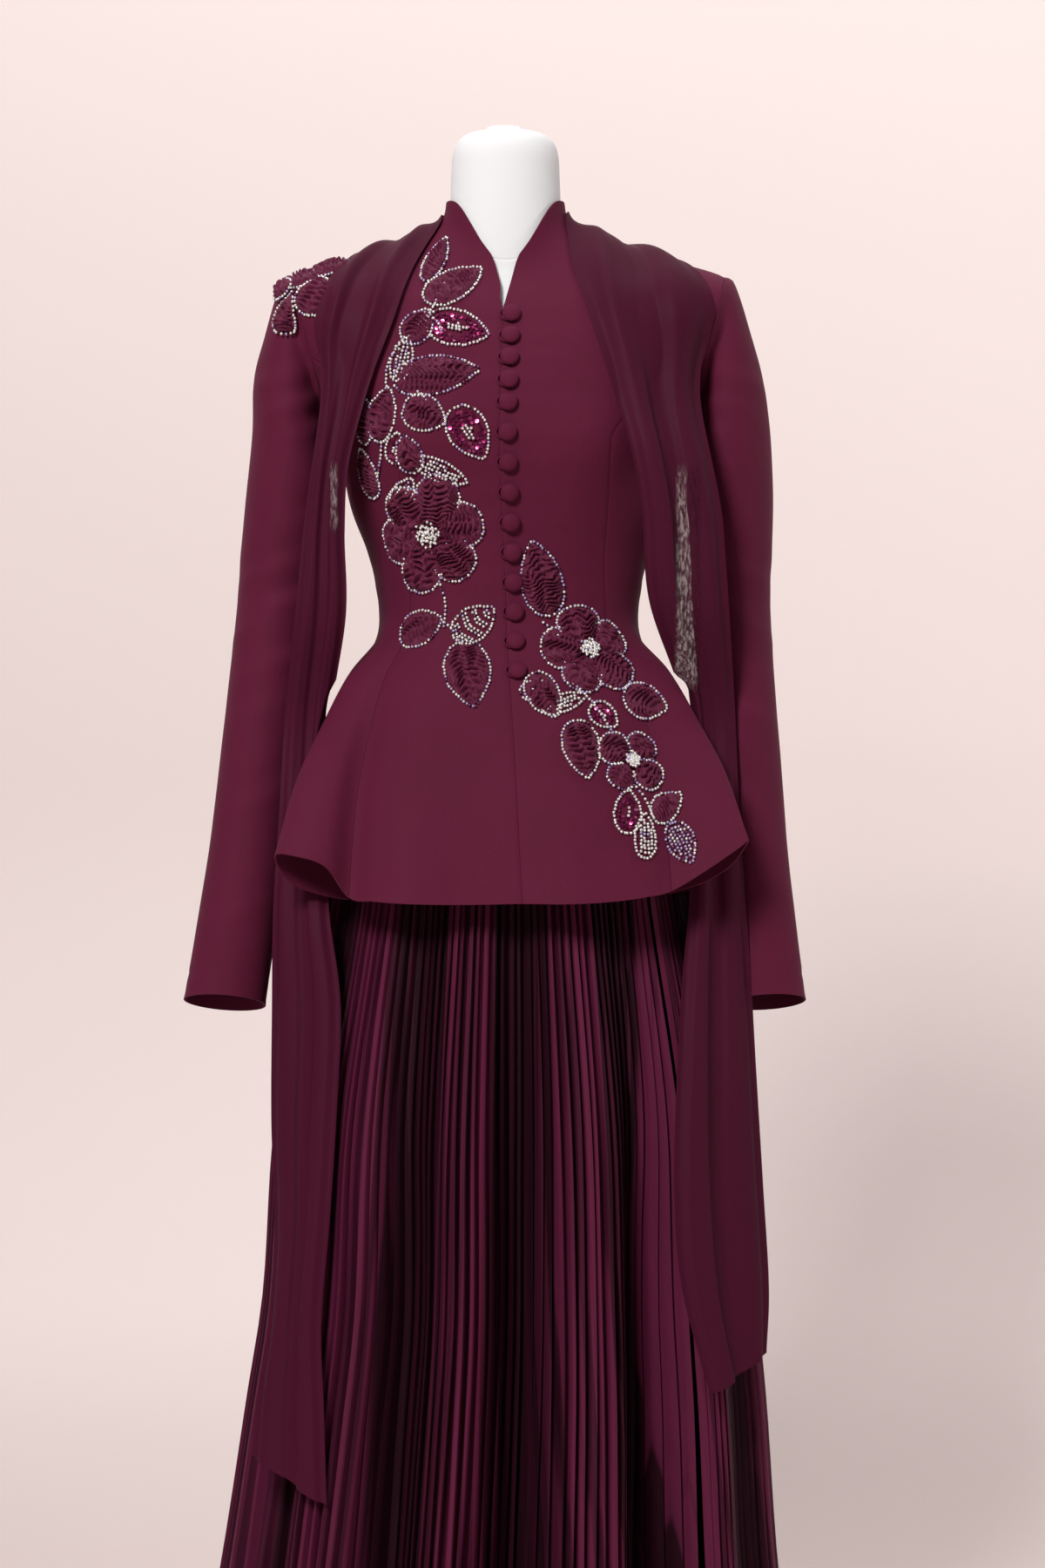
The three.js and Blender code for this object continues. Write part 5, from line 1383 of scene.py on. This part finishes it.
# Beads
BEAD_SIDES = 6
BEAD_RINGS = 5
BEAD_LOOKS = {
    "silver": ((0.94, 0.89, 0.86), 0.14, 0.4),
    "lilac": ((0.52, 0.40, 0.64), 0.18, 0.4),
    "plum": ((0.16, 0.03, 0.10), 0.15, 0.5),
}
SEQUIN_LOOK = ((0.32, 0.02, 0.12), 0.2, 0.8)
# Shares of silver, lilac and plum beads, by where they are sewn
BEAD_SHARES = {
    "fill": [0.85, 0.1, 0.05], "lilac_fill": [0.15, 0.75, 0.1], "leaf_middle": [0.95, 0.05, 0],
    "petal": [0.62, 0.28, 0.1], "flower_middle": [0.92, 0.08, 0], "stem": [0.7, 0.25, 0.05],
}
LILAC_OF_REST = 0.75
BEAD_JITTER = {"seed": 8, "spread": 0.28}
# How far a bead's middle stands off its cloth: a share of its radius on an edge, or millimetres over it
BEAD_SEAT = {"edge": 0.8, "stem": 0.6, "middle": 1.2, "flower": 0.6}
FILL = {"slant": 0.35, "margin": 0.6, "step": 1.02}
OUTLINE = {"points": 200, "grow": 1.0}
SEQUIN = {
    "radius": 2.1, "spacing": 4.1, "lift": 0.9, "seed": 4, "tip": 0.28, "middle": 0.16,
    "length": 0.42, "width": 0.36,
}
# A sequin's section: share of its radius, height
SEQUIN_ROWS = [(0.05, 0), (1, 0), (1, 0.25), (0.05, 0.1)]
SEQUIN_SIDES = 6
# A flower's middle: beads on a spiral that turns by the golden angle, in radians
CLUSTER = {"beads": 60, "reach": 0.2, "uneven": 0.25, "rate": 1.7, "turn": 2.39996, "clear": 0.3}


def bead_template():
    """A small ball: rings at even turns from pole to pole."""
    up = np.linspace(0, np.pi, BEAD_RINGS)
    radius = np.sin(up)
    radius[[0, -1]] = 0.0
    return lathe_shape(radius, -np.cos(up), BEAD_SIDES), grid_faces(BEAD_RINGS, BEAD_SIDES, closed=True)


def repeated(faces, count, size):
    """The faces of one small shape of so many points, once for each of its copies."""
    return (faces[None] + np.arange(count)[:, None, None] * size).reshape(-1, 4)


def many_balls(centres, radius):
    """The same small ball at each centre, as one array of points and one of faces."""
    ball, faces = bead_template()
    flat = ball.reshape(-1, 3)
    points = centres[:, None] + flat[None] * radius
    return points.reshape(-1, 3), repeated(faces, len(centres), len(flat))


def many_sequins(centres, normals):
    """Shallow six-sided cups, each tipped a little from the normal."""
    chance = np.random.default_rng(SEQUIN["seed"])
    n = unit(normals + chance.normal(scale=SEQUIN["tip"], size=normals.shape))
    across = unit(np.cross(n, [0.3, 0.2, 1.0]))
    up = np.cross(n, across)
    turn = 2 * np.pi * np.arange(SEQUIN_SIDES) / SEQUIN_SIDES
    rim = np.cos(turn)[None, :, None] * across[:, None] + np.sin(turn)[None, :, None] * up[:, None]
    c, lift = centres[:, None], n[:, None]
    rings = [c + rim * SEQUIN["radius"] * wide + lift * high for wide, high in SEQUIN_ROWS]
    points = np.stack(rings, 1).reshape(-1, 3)
    size = len(SEQUIN_ROWS) * SEQUIN_SIDES
    faces = grid_faces(len(SEQUIN_ROWS), SEQUIN_SIDES, closed=True)
    return points, repeated(faces, len(centres), size)


def outline_points(length, width, lean, start, spacing):
    """Evenly spaced flat points on a leaf's edge, moved out by a little."""
    count, grow = OUTLINE["points"], OUTLINE["grow"]
    s = np.concatenate([np.linspace(-1, 1, count), np.linspace(1, -1, count)[1:]])
    sign = np.concatenate([np.ones(count), -np.ones(count - 1)])
    along = s * (length / 2 + grow)
    wide = sign * (leaf_half_width(s, width) + grow)
    x, z = leaned(along, wide, lean, start)
    gone = np.concatenate([[0], np.cumsum(np.hypot(np.diff(x), np.diff(z)))])
    where = np.arange(0, gone[-1], spacing)
    return np.interp(where, gone, x), np.interp(where, gone, z)


def fill_points(length, width, lean, spacing, stripes=False):
    """Flat points in slanting rows inside a leaf; with stripes every third row is left out."""
    s = np.arange(-length / 2 + spacing, length / 2 - spacing, spacing)
    t = np.arange(-width / 2, width / 2, spacing)
    level, wide = (a.ravel() for a in np.meshgrid(s, t))
    along = level + FILL["slant"] * np.abs(wide)
    half = leaf_half_width(np.clip(2 * along / length, -1, 1), width)
    keep = np.abs(wide) < half - FILL["margin"] * spacing
    if stripes:
        keep &= np.round(level / spacing).astype(int) % 3 != 0
    return leaned(along[keep], wide[keep], lean)


# Bead stems: from one place to another, with a sag to the side
STEMS = [
    ((-60, -60, 1352), (-100, -90, 1300), 6), ((-78, -95, 1335), (-62, -95, 1315), 3),
    ((-104, -95, 1300), (-112, -100, 1262), -4), ((-100, -100, 1268), (-70, -110, 1240), 4),
    ((-112, -95, 1212), (-128, -80, 1170), 3), ((-66, -95, 1078), (-60, -90, 1040), 3),
    ((-60, -90, 1044), (-44, -95, 1022), 3), ((34, -105, 1046), (52, -100, 1024), 3),
    ((60, -110, 985), (96, -120, 940), 4), ((118, -135, 890), (134, -140, 862), 3),
]


class Sewing:
    """Beads in their colours, each a little out of place, and sequins with the way they face."""

    def __init__(self, settings):
        self.surfaces = surfaces_for_applique()
        self.radius = settings.bead_diameter / MM / 2
        self.spacing = settings.bead_spacing / MM
        self.beads = {name: [] for name in BEAD_LOOKS}
        self.sequins, self.facing = [], []
        self.chance = np.random.default_rng(BEAD_JITTER["seed"])

    def sew(self, points, shares):
        """Beads at points, each in a colour drawn by the shares."""
        points = points + self.chance.normal(scale=BEAD_JITTER["spread"], size=points.shape)
        colour = self.chance.choice(len(BEAD_LOOKS), size=len(points), p=shares)
        for k, name in enumerate(BEAD_LOOKS):
            self.beads[name].append(points[colour == k])

    def laid(self, motif, x, z, height):
        """Flat points of a motif, laid on its cloth and lifted."""
        surface, lift = self.surfaces[motif["on"]], LIFT[motif["on"]]
        place = (motif["x"], motif["y"], motif["z"])
        u, v = surface.drop(place, x, z)
        return surface.lift(u, v, lift + height)

    def leaf(self, leaf):
        """A beaded edge, and inside it beads or sequins where the leaf has them."""
        shape, work = (leaf["length"], leaf["width"], leaf["angle"]), leaf["work"]
        x, z = outline_points(*shape, (0, 0), self.spacing)
        silver, rest = leaf["silver"], 1 - leaf["silver"]
        edge = self.laid(leaf, x, z, self.radius * BEAD_SEAT["edge"])
        self.sew(edge, [silver, LILAC_OF_REST * rest, (1 - LILAC_OF_REST) * rest])
        if work in ("silver", "lilac", "striped"):
            x, z = fill_points(*shape, self.spacing * FILL["step"], work == "striped")
            shares = BEAD_SHARES["lilac_fill" if work == "lilac" else "fill"]
            self.sew(self.laid(leaf, x, z, self.radius), shares)
        if work == "sequins":
            self.sequin_leaf(leaf, shape)

    def sequin_leaf(self, leaf, shape):
        """Sequins all over a leaf but for its middle, which is filled with beads."""
        x, z = fill_points(*shape, SEQUIN["spacing"])
        outer = np.hypot(x, z) >= SEQUIN["middle"] * leaf["length"]
        spots = self.laid(leaf, x, z, SEQUIN["lift"])
        surface = self.surfaces[leaf["on"]]
        u, v = surface.nearest(spots)
        self.sequins.append(spots[outer])
        self.facing.append(surface.normal(u, v)[outer])
        length, width = leaf["length"] * SEQUIN["length"], leaf["width"] * SEQUIN["width"]
        x, z = fill_points(length, width, leaf["angle"], self.spacing)
        middle = self.laid(leaf, x, z, self.radius + BEAD_SEAT["middle"])
        self.sew(middle, BEAD_SHARES["leaf_middle"])

    def flower(self, flower):
        """A beaded edge round each petal, and a cluster in the middle."""
        radius = flower["radius"]
        for length, width, lean, start in petals_of(flower):
            x, z = outline_points(length, width, lean, start, self.spacing)
            outer = np.hypot(x, z) > CLUSTER["clear"] * radius
            height = self.radius * BEAD_SEAT["edge"]
            self.sew(self.laid(flower, x[outer], z[outer], height), BEAD_SHARES["petal"])
        k = np.arange(CLUSTER["beads"])
        spread = CLUSTER["reach"] * radius * np.sqrt((k + 0.5) / CLUSTER["beads"])
        spread = spread * (1 + CLUSTER["uneven"] * np.sin(k * CLUSTER["rate"]))
        x, z = spread * np.cos(CLUSTER["turn"] * k), spread * np.sin(CLUSTER["turn"] * k)
        middle = self.laid(flower, x, z, RUCHE["top"] + BEAD_SEAT["flower"])
        self.sew(middle, BEAD_SHARES["flower_middle"])

    def stem(self, first, second, sag):
        """A line of beads on the jacket from one place to another, bowed to the side by half a sine."""
        count = int(np.linalg.norm(np.subtract(first, second)) / self.spacing)
        share = np.linspace(0, 1, count)[:, None]
        line = mix(np.array(first, float), np.array(second, float), share)
        line[:, 0] += sag * np.sin(np.pi * share[:, 0])
        u, v = JACKET.nearest(line)
        height = self.radius + BEAD_SEAT["stem"]
        self.sew(jacket_point(u, v) + JACKET.normal(u, v) * height, BEAD_SHARES["stem"])


class GOWN_OT_beads(bpy.types.Operator):
    """Sews beads round the leaves, in the flowers' middles and along the stems, and sequins inside."""

    bl_idname = "gown.beads"
    bl_label = "Beads and sequins"

    def execute(self, context):
        sewing = Sewing(context.scene.gown)
        for leaf in LEAVES:
            sewing.leaf(leaf)
        for flower in FLOWERS:
            sewing.flower(flower)
        for stem in STEMS:
            sewing.stem(*stem)
        looks = {name: bead_look(f"bead_{name}", *look) for name, look in BEAD_LOOKS.items()}
        for name, groups in sewing.beads.items():
            points, faces = many_balls(np.concatenate(groups), sewing.radius)
            mesh = mesh_of(f"beads_{name}", points, faces, 180, weld=True)
            add_piece(f"beads_{name}", mesh, looks[name])
        points, faces = many_sequins(np.concatenate(sewing.sequins), np.concatenate(sewing.facing))
        pink = bead_look("sequin_magenta", *SEQUIN_LOOK)
        add_piece("sequins", mesh_of("sequins", points, faces, 40), pink)
        return {"FINISHED"}


# Skirt
def skirt_point(turn, z, depth, pleat_scale):
    """A superellipse ring, less the pleat's depth and the soft fold, which is a power of two waves."""
    value = curves(SKIRT, "z", z)
    s, c = np.sin(turn), np.cos(turn)
    m = (np.abs(s) ** SKIRT_SQUARE + np.abs(c) ** SKIRT_SQUARE) ** (1 / SKIRT_SQUARE)
    deep = np.where(c > 0, value["front"], value["back"])
    f = SOFT_FOLDS
    phase = turn - np.radians(f["valley"])
    ripple = -np.cos(f["count"] * phase) + f["share"] * np.sin(f["second"] * phase)
    deeper = f["deeper"] * np.clip((f["from"] - z) / f["over"], 0, 1)
    narrow = np.clip((1 - ripple) / 2, 0, None) ** f["narrow"]
    fold = value["fold"] * (1 + deeper * c * c) * narrow
    inward = depth * pleat_scale * value["pleat"] + fold
    flat = np.stack([value["shift"] + value["half"] * s / m, -deep * c / m, z + 0 * turn], -1)
    outward = unit(np.stack([s / value["half"], -c / deep, 0 * s], -1))
    return flat - outward * inward[..., None], outward


class GOWN_OT_skirt(bpy.types.Operator):
    """Makes the four panels of the pleated skirt and its waistband."""

    bl_idname = "gown.skirt"
    bl_label = "Pleated skirt"

    def execute(self, context):
        look = material("pleated_chiffon", chiffon_look, context.scene.gown)
        quarter = PLEATS // 4
        pitch = 2 * np.pi / PLEATS
        uneven = np.random.default_rng(PLEAT_CHANCE["seed"])
        scale = uneven.uniform(*PLEAT_CHANCE["deep"], PLEATS)
        slip = uneven.normal(scale=PLEAT_CHANCE["slip"], size=PLEATS)
        drift = uneven.uniform(0, PLEAT_CHANCE["turn"], PLEATS)
        wider = uneven.uniform(*PLEAT_CHANCE["wider"], PLEATS)
        levels = [np.linspace(*HEM_ROWS), np.linspace(*SKIRT_ROWS), SKIRT["z"][-1:]]
        z = np.concatenate(levels)[:, None]
        for k, name in enumerate(("front", "side_left", "back", "side_right")):
            pleat = np.repeat(np.arange(quarter), len(PLEAT_SHAPE["along"])) + k * quarter
            along = np.tile(PLEAT_SHAPE["along"], quarter)
            deep = np.tile(PLEAT_SHAPE["deep"], quarter)
            along = along + wider[pleat] * ((along > PLEAT_FACE[0]) & (along < PLEAT_FACE[1]))
            pleat, along, deep = pleat[1:-1], along[1:-1], deep[1:-1]
            sway = PLEAT_SWAY["far"] * np.sin(z / PLEAT_SWAY["length"] + drift[pleat][None])
            sway = sway * np.clip((PLEAT_SWAY["from"] - z) / PLEAT_SWAY["over"], 0, 1)
            turn = -np.pi / 4 + (pleat + along + slip[pleat])[None] * pitch + sway * pitch
            outer, outward = skirt_point(turn, z + 0 * turn, deep[None] + 0 * turn, scale[pleat][None])
            inner = outer - outward * SKIRT_WALL
            rows, columns = outer.shape[:2]
            points = np.concatenate([outer.reshape(-1, 3), inner.reshape(-1, 3)])
            mesh = mesh_of(f"pleats_{name}", points, wall_faces(rows, columns), 60)
            piece = add_piece(f"pleats_{name}", mesh, look, [f"skirt_{name}"])
            width, length, area = cut_size(outer)
        self.add_band(look)
        return {"FINISHED"}

    def add_band(self, look):
        """The waistband: the jacket's own rings, moved in by its wall and a gap."""
        ring = np.interp(BAND["z"], RINGS["z_side"], RINGS["ring"])[:, None]
        angle = np.linspace(-180, 180, ROUND_COLUMNS, endpoint=False)[None]
        n = JACKET.normal(angle + 0 * ring, ring + 0 * angle)
        n[..., 2] = 0
        grid = jacket_point(angle, ring) - unit(n) * BAND["inset"]
        cloth_wall(
            "pleat_band", grid, BAND["wall"], look, ["skirt_waistband"], "stretched",
            closed=True,
        )


# Scarf
def plateau(share, low, high):
    """A flat top between two shares, with soft slopes on both sides."""
    rise = np.clip((share - low) / STRIP_SLOPE, 0, 1)
    fall = np.clip((high - share) / STRIP_SLOPE, 0, 1)
    return (rise * rise * (3 - 2 * rise)) * (fall * fall * (3 - 2 * fall))


def scarf_grid(rows, first, last, count, columns, seed):
    """Stations from inner to outer edge in leaning folds, laid on the jacket above and hanging below."""
    f = SCARF_FOLD
    station = np.linspace(first, last, count)[:, None]
    share = np.linspace(0, 1, columns)[None]
    value = curves(rows, "station", station)
    inner = np.stack([value["in_x"], value["in_y"], value["in_z"]], -1)
    outer = np.stack([value["out_x"], value["out_y"], value["out_z"]], -1)
    chord = unit(outer - inner)
    level = unit(np.stack([chord[..., 1], -chord[..., 0], 0 * chord[..., 0]], -1))
    front = np.where(level[..., 1:2] < 0, level, -level)
    drift = f["drift"] * np.sin(station * f["drift_rate"] + seed) * np.sin(np.pi * share)
    phase = 2 * np.pi * f["waves"] * (share + drift)
    wave = (1 - np.cos(phase)) / 2
    strip = sum(high * plateau(share, low, end) for low, end, high in SCARF_STRIPS)
    lies = np.clip(value["lies"], 0, 1)
    slow = f["small_drift"] * np.sin(station * f["small_rate"] + seed)
    small = np.sin(2 * np.pi * (f["small_waves"] * share + slow) + seed)
    rise = mix(strip, wave, f["wave_share"] + (1 - f["wave_share"]) * lies)
    rise = value["fold"] * (rise + f["small"] * small * np.sin(np.pi * share) * lies)
    lean = f["lean"] * np.sin(phase) * value["fold"] / f["full"]
    q = mix(inner, outer, share[..., None]) + chord * lean[..., None]
    u, v = JACKET.nearest(q)
    near, normal = jacket_point(u, v), JACKET.normal(u, v)
    laid = near + normal * (value["off"] + f["above"] + rise)[..., None]
    hung = q + front * rise[..., None]
    p = mix(hung, laid, lies[..., None])
    off = dots(p - near, normal)[..., 0]
    needed = value["off"] + f["least"]
    close = (np.linalg.norm(q - near, axis=-1) < f["reach"]) & (off < needed)
    return p + normal * np.where(close, needed - off, 0)[..., None]


class GOWN_OT_scarf(bpy.types.Operator):
    """Makes the scarf: the stretch round the neck and its two long ends."""

    bl_idname = "gown.scarf"
    bl_label = "Scarf"

    def execute(self, context):
        look = material("scarf_satin", satin_look, context.scene.gown)
        for name, rows, first, last, count, columns, seed, held in SCARF_PIECES:
            grid = scarf_grid(rows, first, last, count, columns, seed)
            middle = grid_normals(grid)[count // 2, columns // 2]
            facing = middle[1] < 0 if name != "neck" else middle[1] > 0
            if not facing:
                grid = grid[:, ::-1]
            cloth_wall(
                f"scarf_cloth_{name}", grid, SCARF_WALL, look, [f"scarf_{name}"], held,
            )
        return {"FINISHED"}


# Form
def form_ring(ring, angle):
    """The jacket's ring and cup, moved in along the normal by the inset at that ring."""
    inset = np.interp(ring, FORM_INSET["ring"], FORM_INSET["inset"])
    p = ring_point(angle, ring)
    p[..., 1] -= cup_swell(p, angle)
    turn, step = JACKET_STEP["angle"], JACKET_STEP["ring"]
    v = np.clip(ring, step, COLLAR_RING - step)
    along = ring_point(angle + turn, v) - ring_point(angle - turn, v)
    up = ring_point(angle, v + step) - ring_point(angle, v - step)
    return p - unit(np.cross(along, up)) * inset[..., None]


def capped_stack(name, rings):
    """A closed stack of rings, each end drawn in to its middle."""
    ends = [np.broadcast_to(rings[k].mean(0), rings[k].shape) for k in (0, -1)]
    grid = np.concatenate([ends[0][None], rings, ends[1][None]])
    return mesh_of(name, grid, grid_faces(*grid.shape[:2], closed=True), weld=True)


class GOWN_OT_form(bpy.types.Operator):
    """Makes the dress form's torso and neck, and finishes its cap and stand."""

    bl_idname = "gown.form"
    bl_label = "Dress form"

    def execute(self, context):
        settings = context.scene.gown
        look = material("form_calico", calico_look, settings)
        angle = np.linspace(-180, 180, ROUND_COLUMNS, endpoint=False)[None]
        rows = np.linspace(FORM["bottom"], FORM["neck_seam"], FORM["rows"])[:, None]
        torso = form_ring(rows + 0 * angle, angle + 0 * rows)
        torso[0, :, 2] = FORM["floor"]
        for side in (1, -1):
            top, _, _, out = armhole_frame(side, FORM_ARMHOLE["inset"])
            over = np.maximum(0, dots(torso - top, out)) * (torso[..., 2:] > FORM_ARMHOLE["from"])
            torso = torso - out * over
        add_piece("calico_torso", capped_stack("calico_torso", torso), look, ["form_torso"])
        rows = np.linspace(FORM["neck_seam"], COLLAR_RING - NECK_TOP, NECK_ROWS)[:, None]
        neck = form_ring(rows + 0 * angle, angle + 0 * rows)
        neck[..., 2] += FORM["seam_gap"]
        last = neck[-1]
        middle = last.mean(0)
        z = np.concatenate([np.linspace(*NECK_SIDE), np.linspace(*NECK_CAP)])
        scale = curves(NECK_TAPER, "z", z)["scale"][:, None]
        upper = middle[None, None] + (last - middle)[None] * scale[..., None]
        upper[..., 2] = z[:, None]
        stack = np.concatenate([neck, upper])
        add_piece("calico_neck", capped_stack("calico_neck", stack), look, ["form_neck"])
        steel = material("stand_steel", metal_look)
        for node, finish in (("form_cap", look), ("stand_base", steel), ("stand_pole", steel)):
            materials = bpy.data.objects[node].data.materials
            materials.clear()
            materials.append(finish)
        return {"FINISHED"}


# Stage
CAMERA = {"place": (0.0133, -3.6, 0.893), "lens": 86.4, "sensor": 36.0}
BACKDROP = {"half_width": 4.5, "front": -4.2, "back": 1.6, "bend": 0.9, "height": 4.2, "rings": 24}
# Soft lights: the setting for their power, what it is divided by, place, target, width and height
LIGHTS = {
    "key": ("key_power", 1.0, (-1.3, -3.1, 3.1), (0, 0, 0.95), (1.1, 1.0)),
    "fill": ("fill_power", 1.0, (2.3, -1.5, 3.3), (0.1, 0, 1.2), (1.2, 1.0)),
    "wall": ("wall_power", 1.0, (0.1, 0.35, 3.8), (0.1, 1.7, 1.1), (3.4, 0.7)),
    "low wall": ("wall_power", 3.4, (1.9, -0.2, 1.5), (1.0, 1.5, 0.3), (0.6, 1.6)),
}
ROOM = {"colour": (0.9, 0.82, 0.8, 1), "strength": 0.05}
PAINT = {"floor": 0.84, "wall": 1.0, "from": 0.12, "to": 9.0, "soft": 0.12, "uneven": 0.1}


def look_at(thing, place, target):
    """Puts a thing at a place with its -Z axis towards a target."""
    thing.location = place
    thing.rotation_euler = (Vector(target) - Vector(place)).to_track_quat("-Z", "Y").to_euler()


def stage_look(settings):
    """Painted floor and wall in one pale colour, deeper on the floor."""
    look = Look("stage_paint", Specular_IOR_Level=0.1)
    colour = settings.floor_colour
    rise = look.axis("Z").between(PAINT["from"], PAINT["to"], PAINT["soft"])
    wall = rise * (1 - PAINT["uneven"]) + look.grain(0.9, 2.0) * PAINT["uneven"]
    look.surface(
        Base_Color=look.blend(wall, rgba(colour, PAINT["floor"]), rgba(colour, PAINT["wall"])),
        Roughness=0.9,
    )
    return look.material


class GOWN_OT_stage(bpy.types.Operator):
    """Sets the floor, backdrop, lights and camera."""

    bl_idname = "gown.stage"
    bl_label = "Stage"

    def execute(self, context):
        settings = context.scene.gown_stage
        b = BACKDROP
        bend = np.linspace(0, np.pi / 2, b["rings"])
        y = np.concatenate([[b["front"]], b["back"] - b["bend"] + b["bend"] * np.sin(bend), [b["back"]]])
        z = np.concatenate([[0.0], b["bend"] * (1 - np.cos(bend)), [b["height"]]])
        x = np.array([-b["half_width"], b["half_width"]])
        grid = np.stack([x[None] + 0 * y[:, None], y[:, None] + 0 * x, z[:, None] + 0 * x], -1) / MM
        mesh = mesh_of("backdrop", grid, grid_faces(*grid.shape[:2]))
        backdrop = bpy.data.objects.new("backdrop", mesh)
        context.scene.collection.objects.link(backdrop)
        mesh.materials.append(material("stage_paint", stage_look, settings))
        for name, (power, divided, place, target, size) in LIGHTS.items():
            data = bpy.data.lights.new(name, "AREA")
            data.shape, data.energy = "RECTANGLE", getattr(settings, power) / divided
            data.size, data.size_y = size
            light = bpy.data.objects.new(name, data)
            context.scene.collection.objects.link(light)
            look_at(light, place, target)
        world = bpy.data.worlds.new("room")
        world.use_nodes = True
        background = world.node_tree.nodes["Background"].inputs
        background["Color"].default_value = ROOM["colour"]
        background["Strength"].default_value = ROOM["strength"]
        context.scene.world = world
        self.add_camera(context)
        context.scene.view_settings.view_transform = "Standard"
        return {"FINISHED"}

    def add_camera(self, context):
        """The camera, level and facing the gown from the front."""
        data = bpy.data.cameras.new("camera")
        data.sensor_fit, data.sensor_height, data.lens = "VERTICAL", CAMERA["sensor"], CAMERA["lens"]
        camera = bpy.data.objects.new("camera", data)
        context.scene.collection.objects.link(camera)
        camera.location = CAMERA["place"]
        camera.rotation_euler = (math.pi / 2, 0, 0)
        context.scene.camera = camera


class GOWN_PT_panel(bpy.types.Panel):
    """Lists the gown's pieces and its settings."""

    bl_label = "Evening gown"
    bl_space_type = "VIEW_3D"
    bl_region_type = "UI"
    bl_category = "Gown"

    def draw(self, context):
        layout = self.layout
        for operator in OPERATORS:
            layout.operator(operator.bl_idname)
        for group in (context.scene.gown, context.scene.gown_stage):
            for name in group.__annotations__:
                layout.prop(group, name)


OPERATORS = (
    GOWN_OT_stage, GOWN_OT_form, GOWN_OT_jacket, GOWN_OT_sleeves, GOWN_OT_buttons, GOWN_OT_applique,
    GOWN_OT_beads, GOWN_OT_skirt, GOWN_OT_scarf,
)
CLASSES = (GownSettings, StageSettings, *OPERATORS, GOWN_PT_panel)


def register():
    """Registers the classes and puts the settings on the scene."""
    for cls in CLASSES:
        bpy.utils.register_class(cls)
    bpy.types.Scene.gown = PointerProperty(type=GownSettings)
    bpy.types.Scene.gown_stage = PointerProperty(type=StageSettings)


def unregister():
    """Takes the settings and the classes away."""
    del bpy.types.Scene.gown_stage
    del bpy.types.Scene.gown
    for cls in reversed(CLASSES):
        bpy.utils.unregister_class(cls)


def main():
    """Builds the gown piece by piece."""
    register()
    bpy.ops.gown.stage()
    bpy.ops.gown.form()
    bpy.ops.gown.jacket()
    bpy.ops.gown.sleeves()
    bpy.ops.gown.buttons()
    bpy.ops.gown.applique()
    bpy.ops.gown.beads()
    bpy.ops.gown.skirt()
    bpy.ops.gown.scarf()


if __name__ == "__main__":
    main()
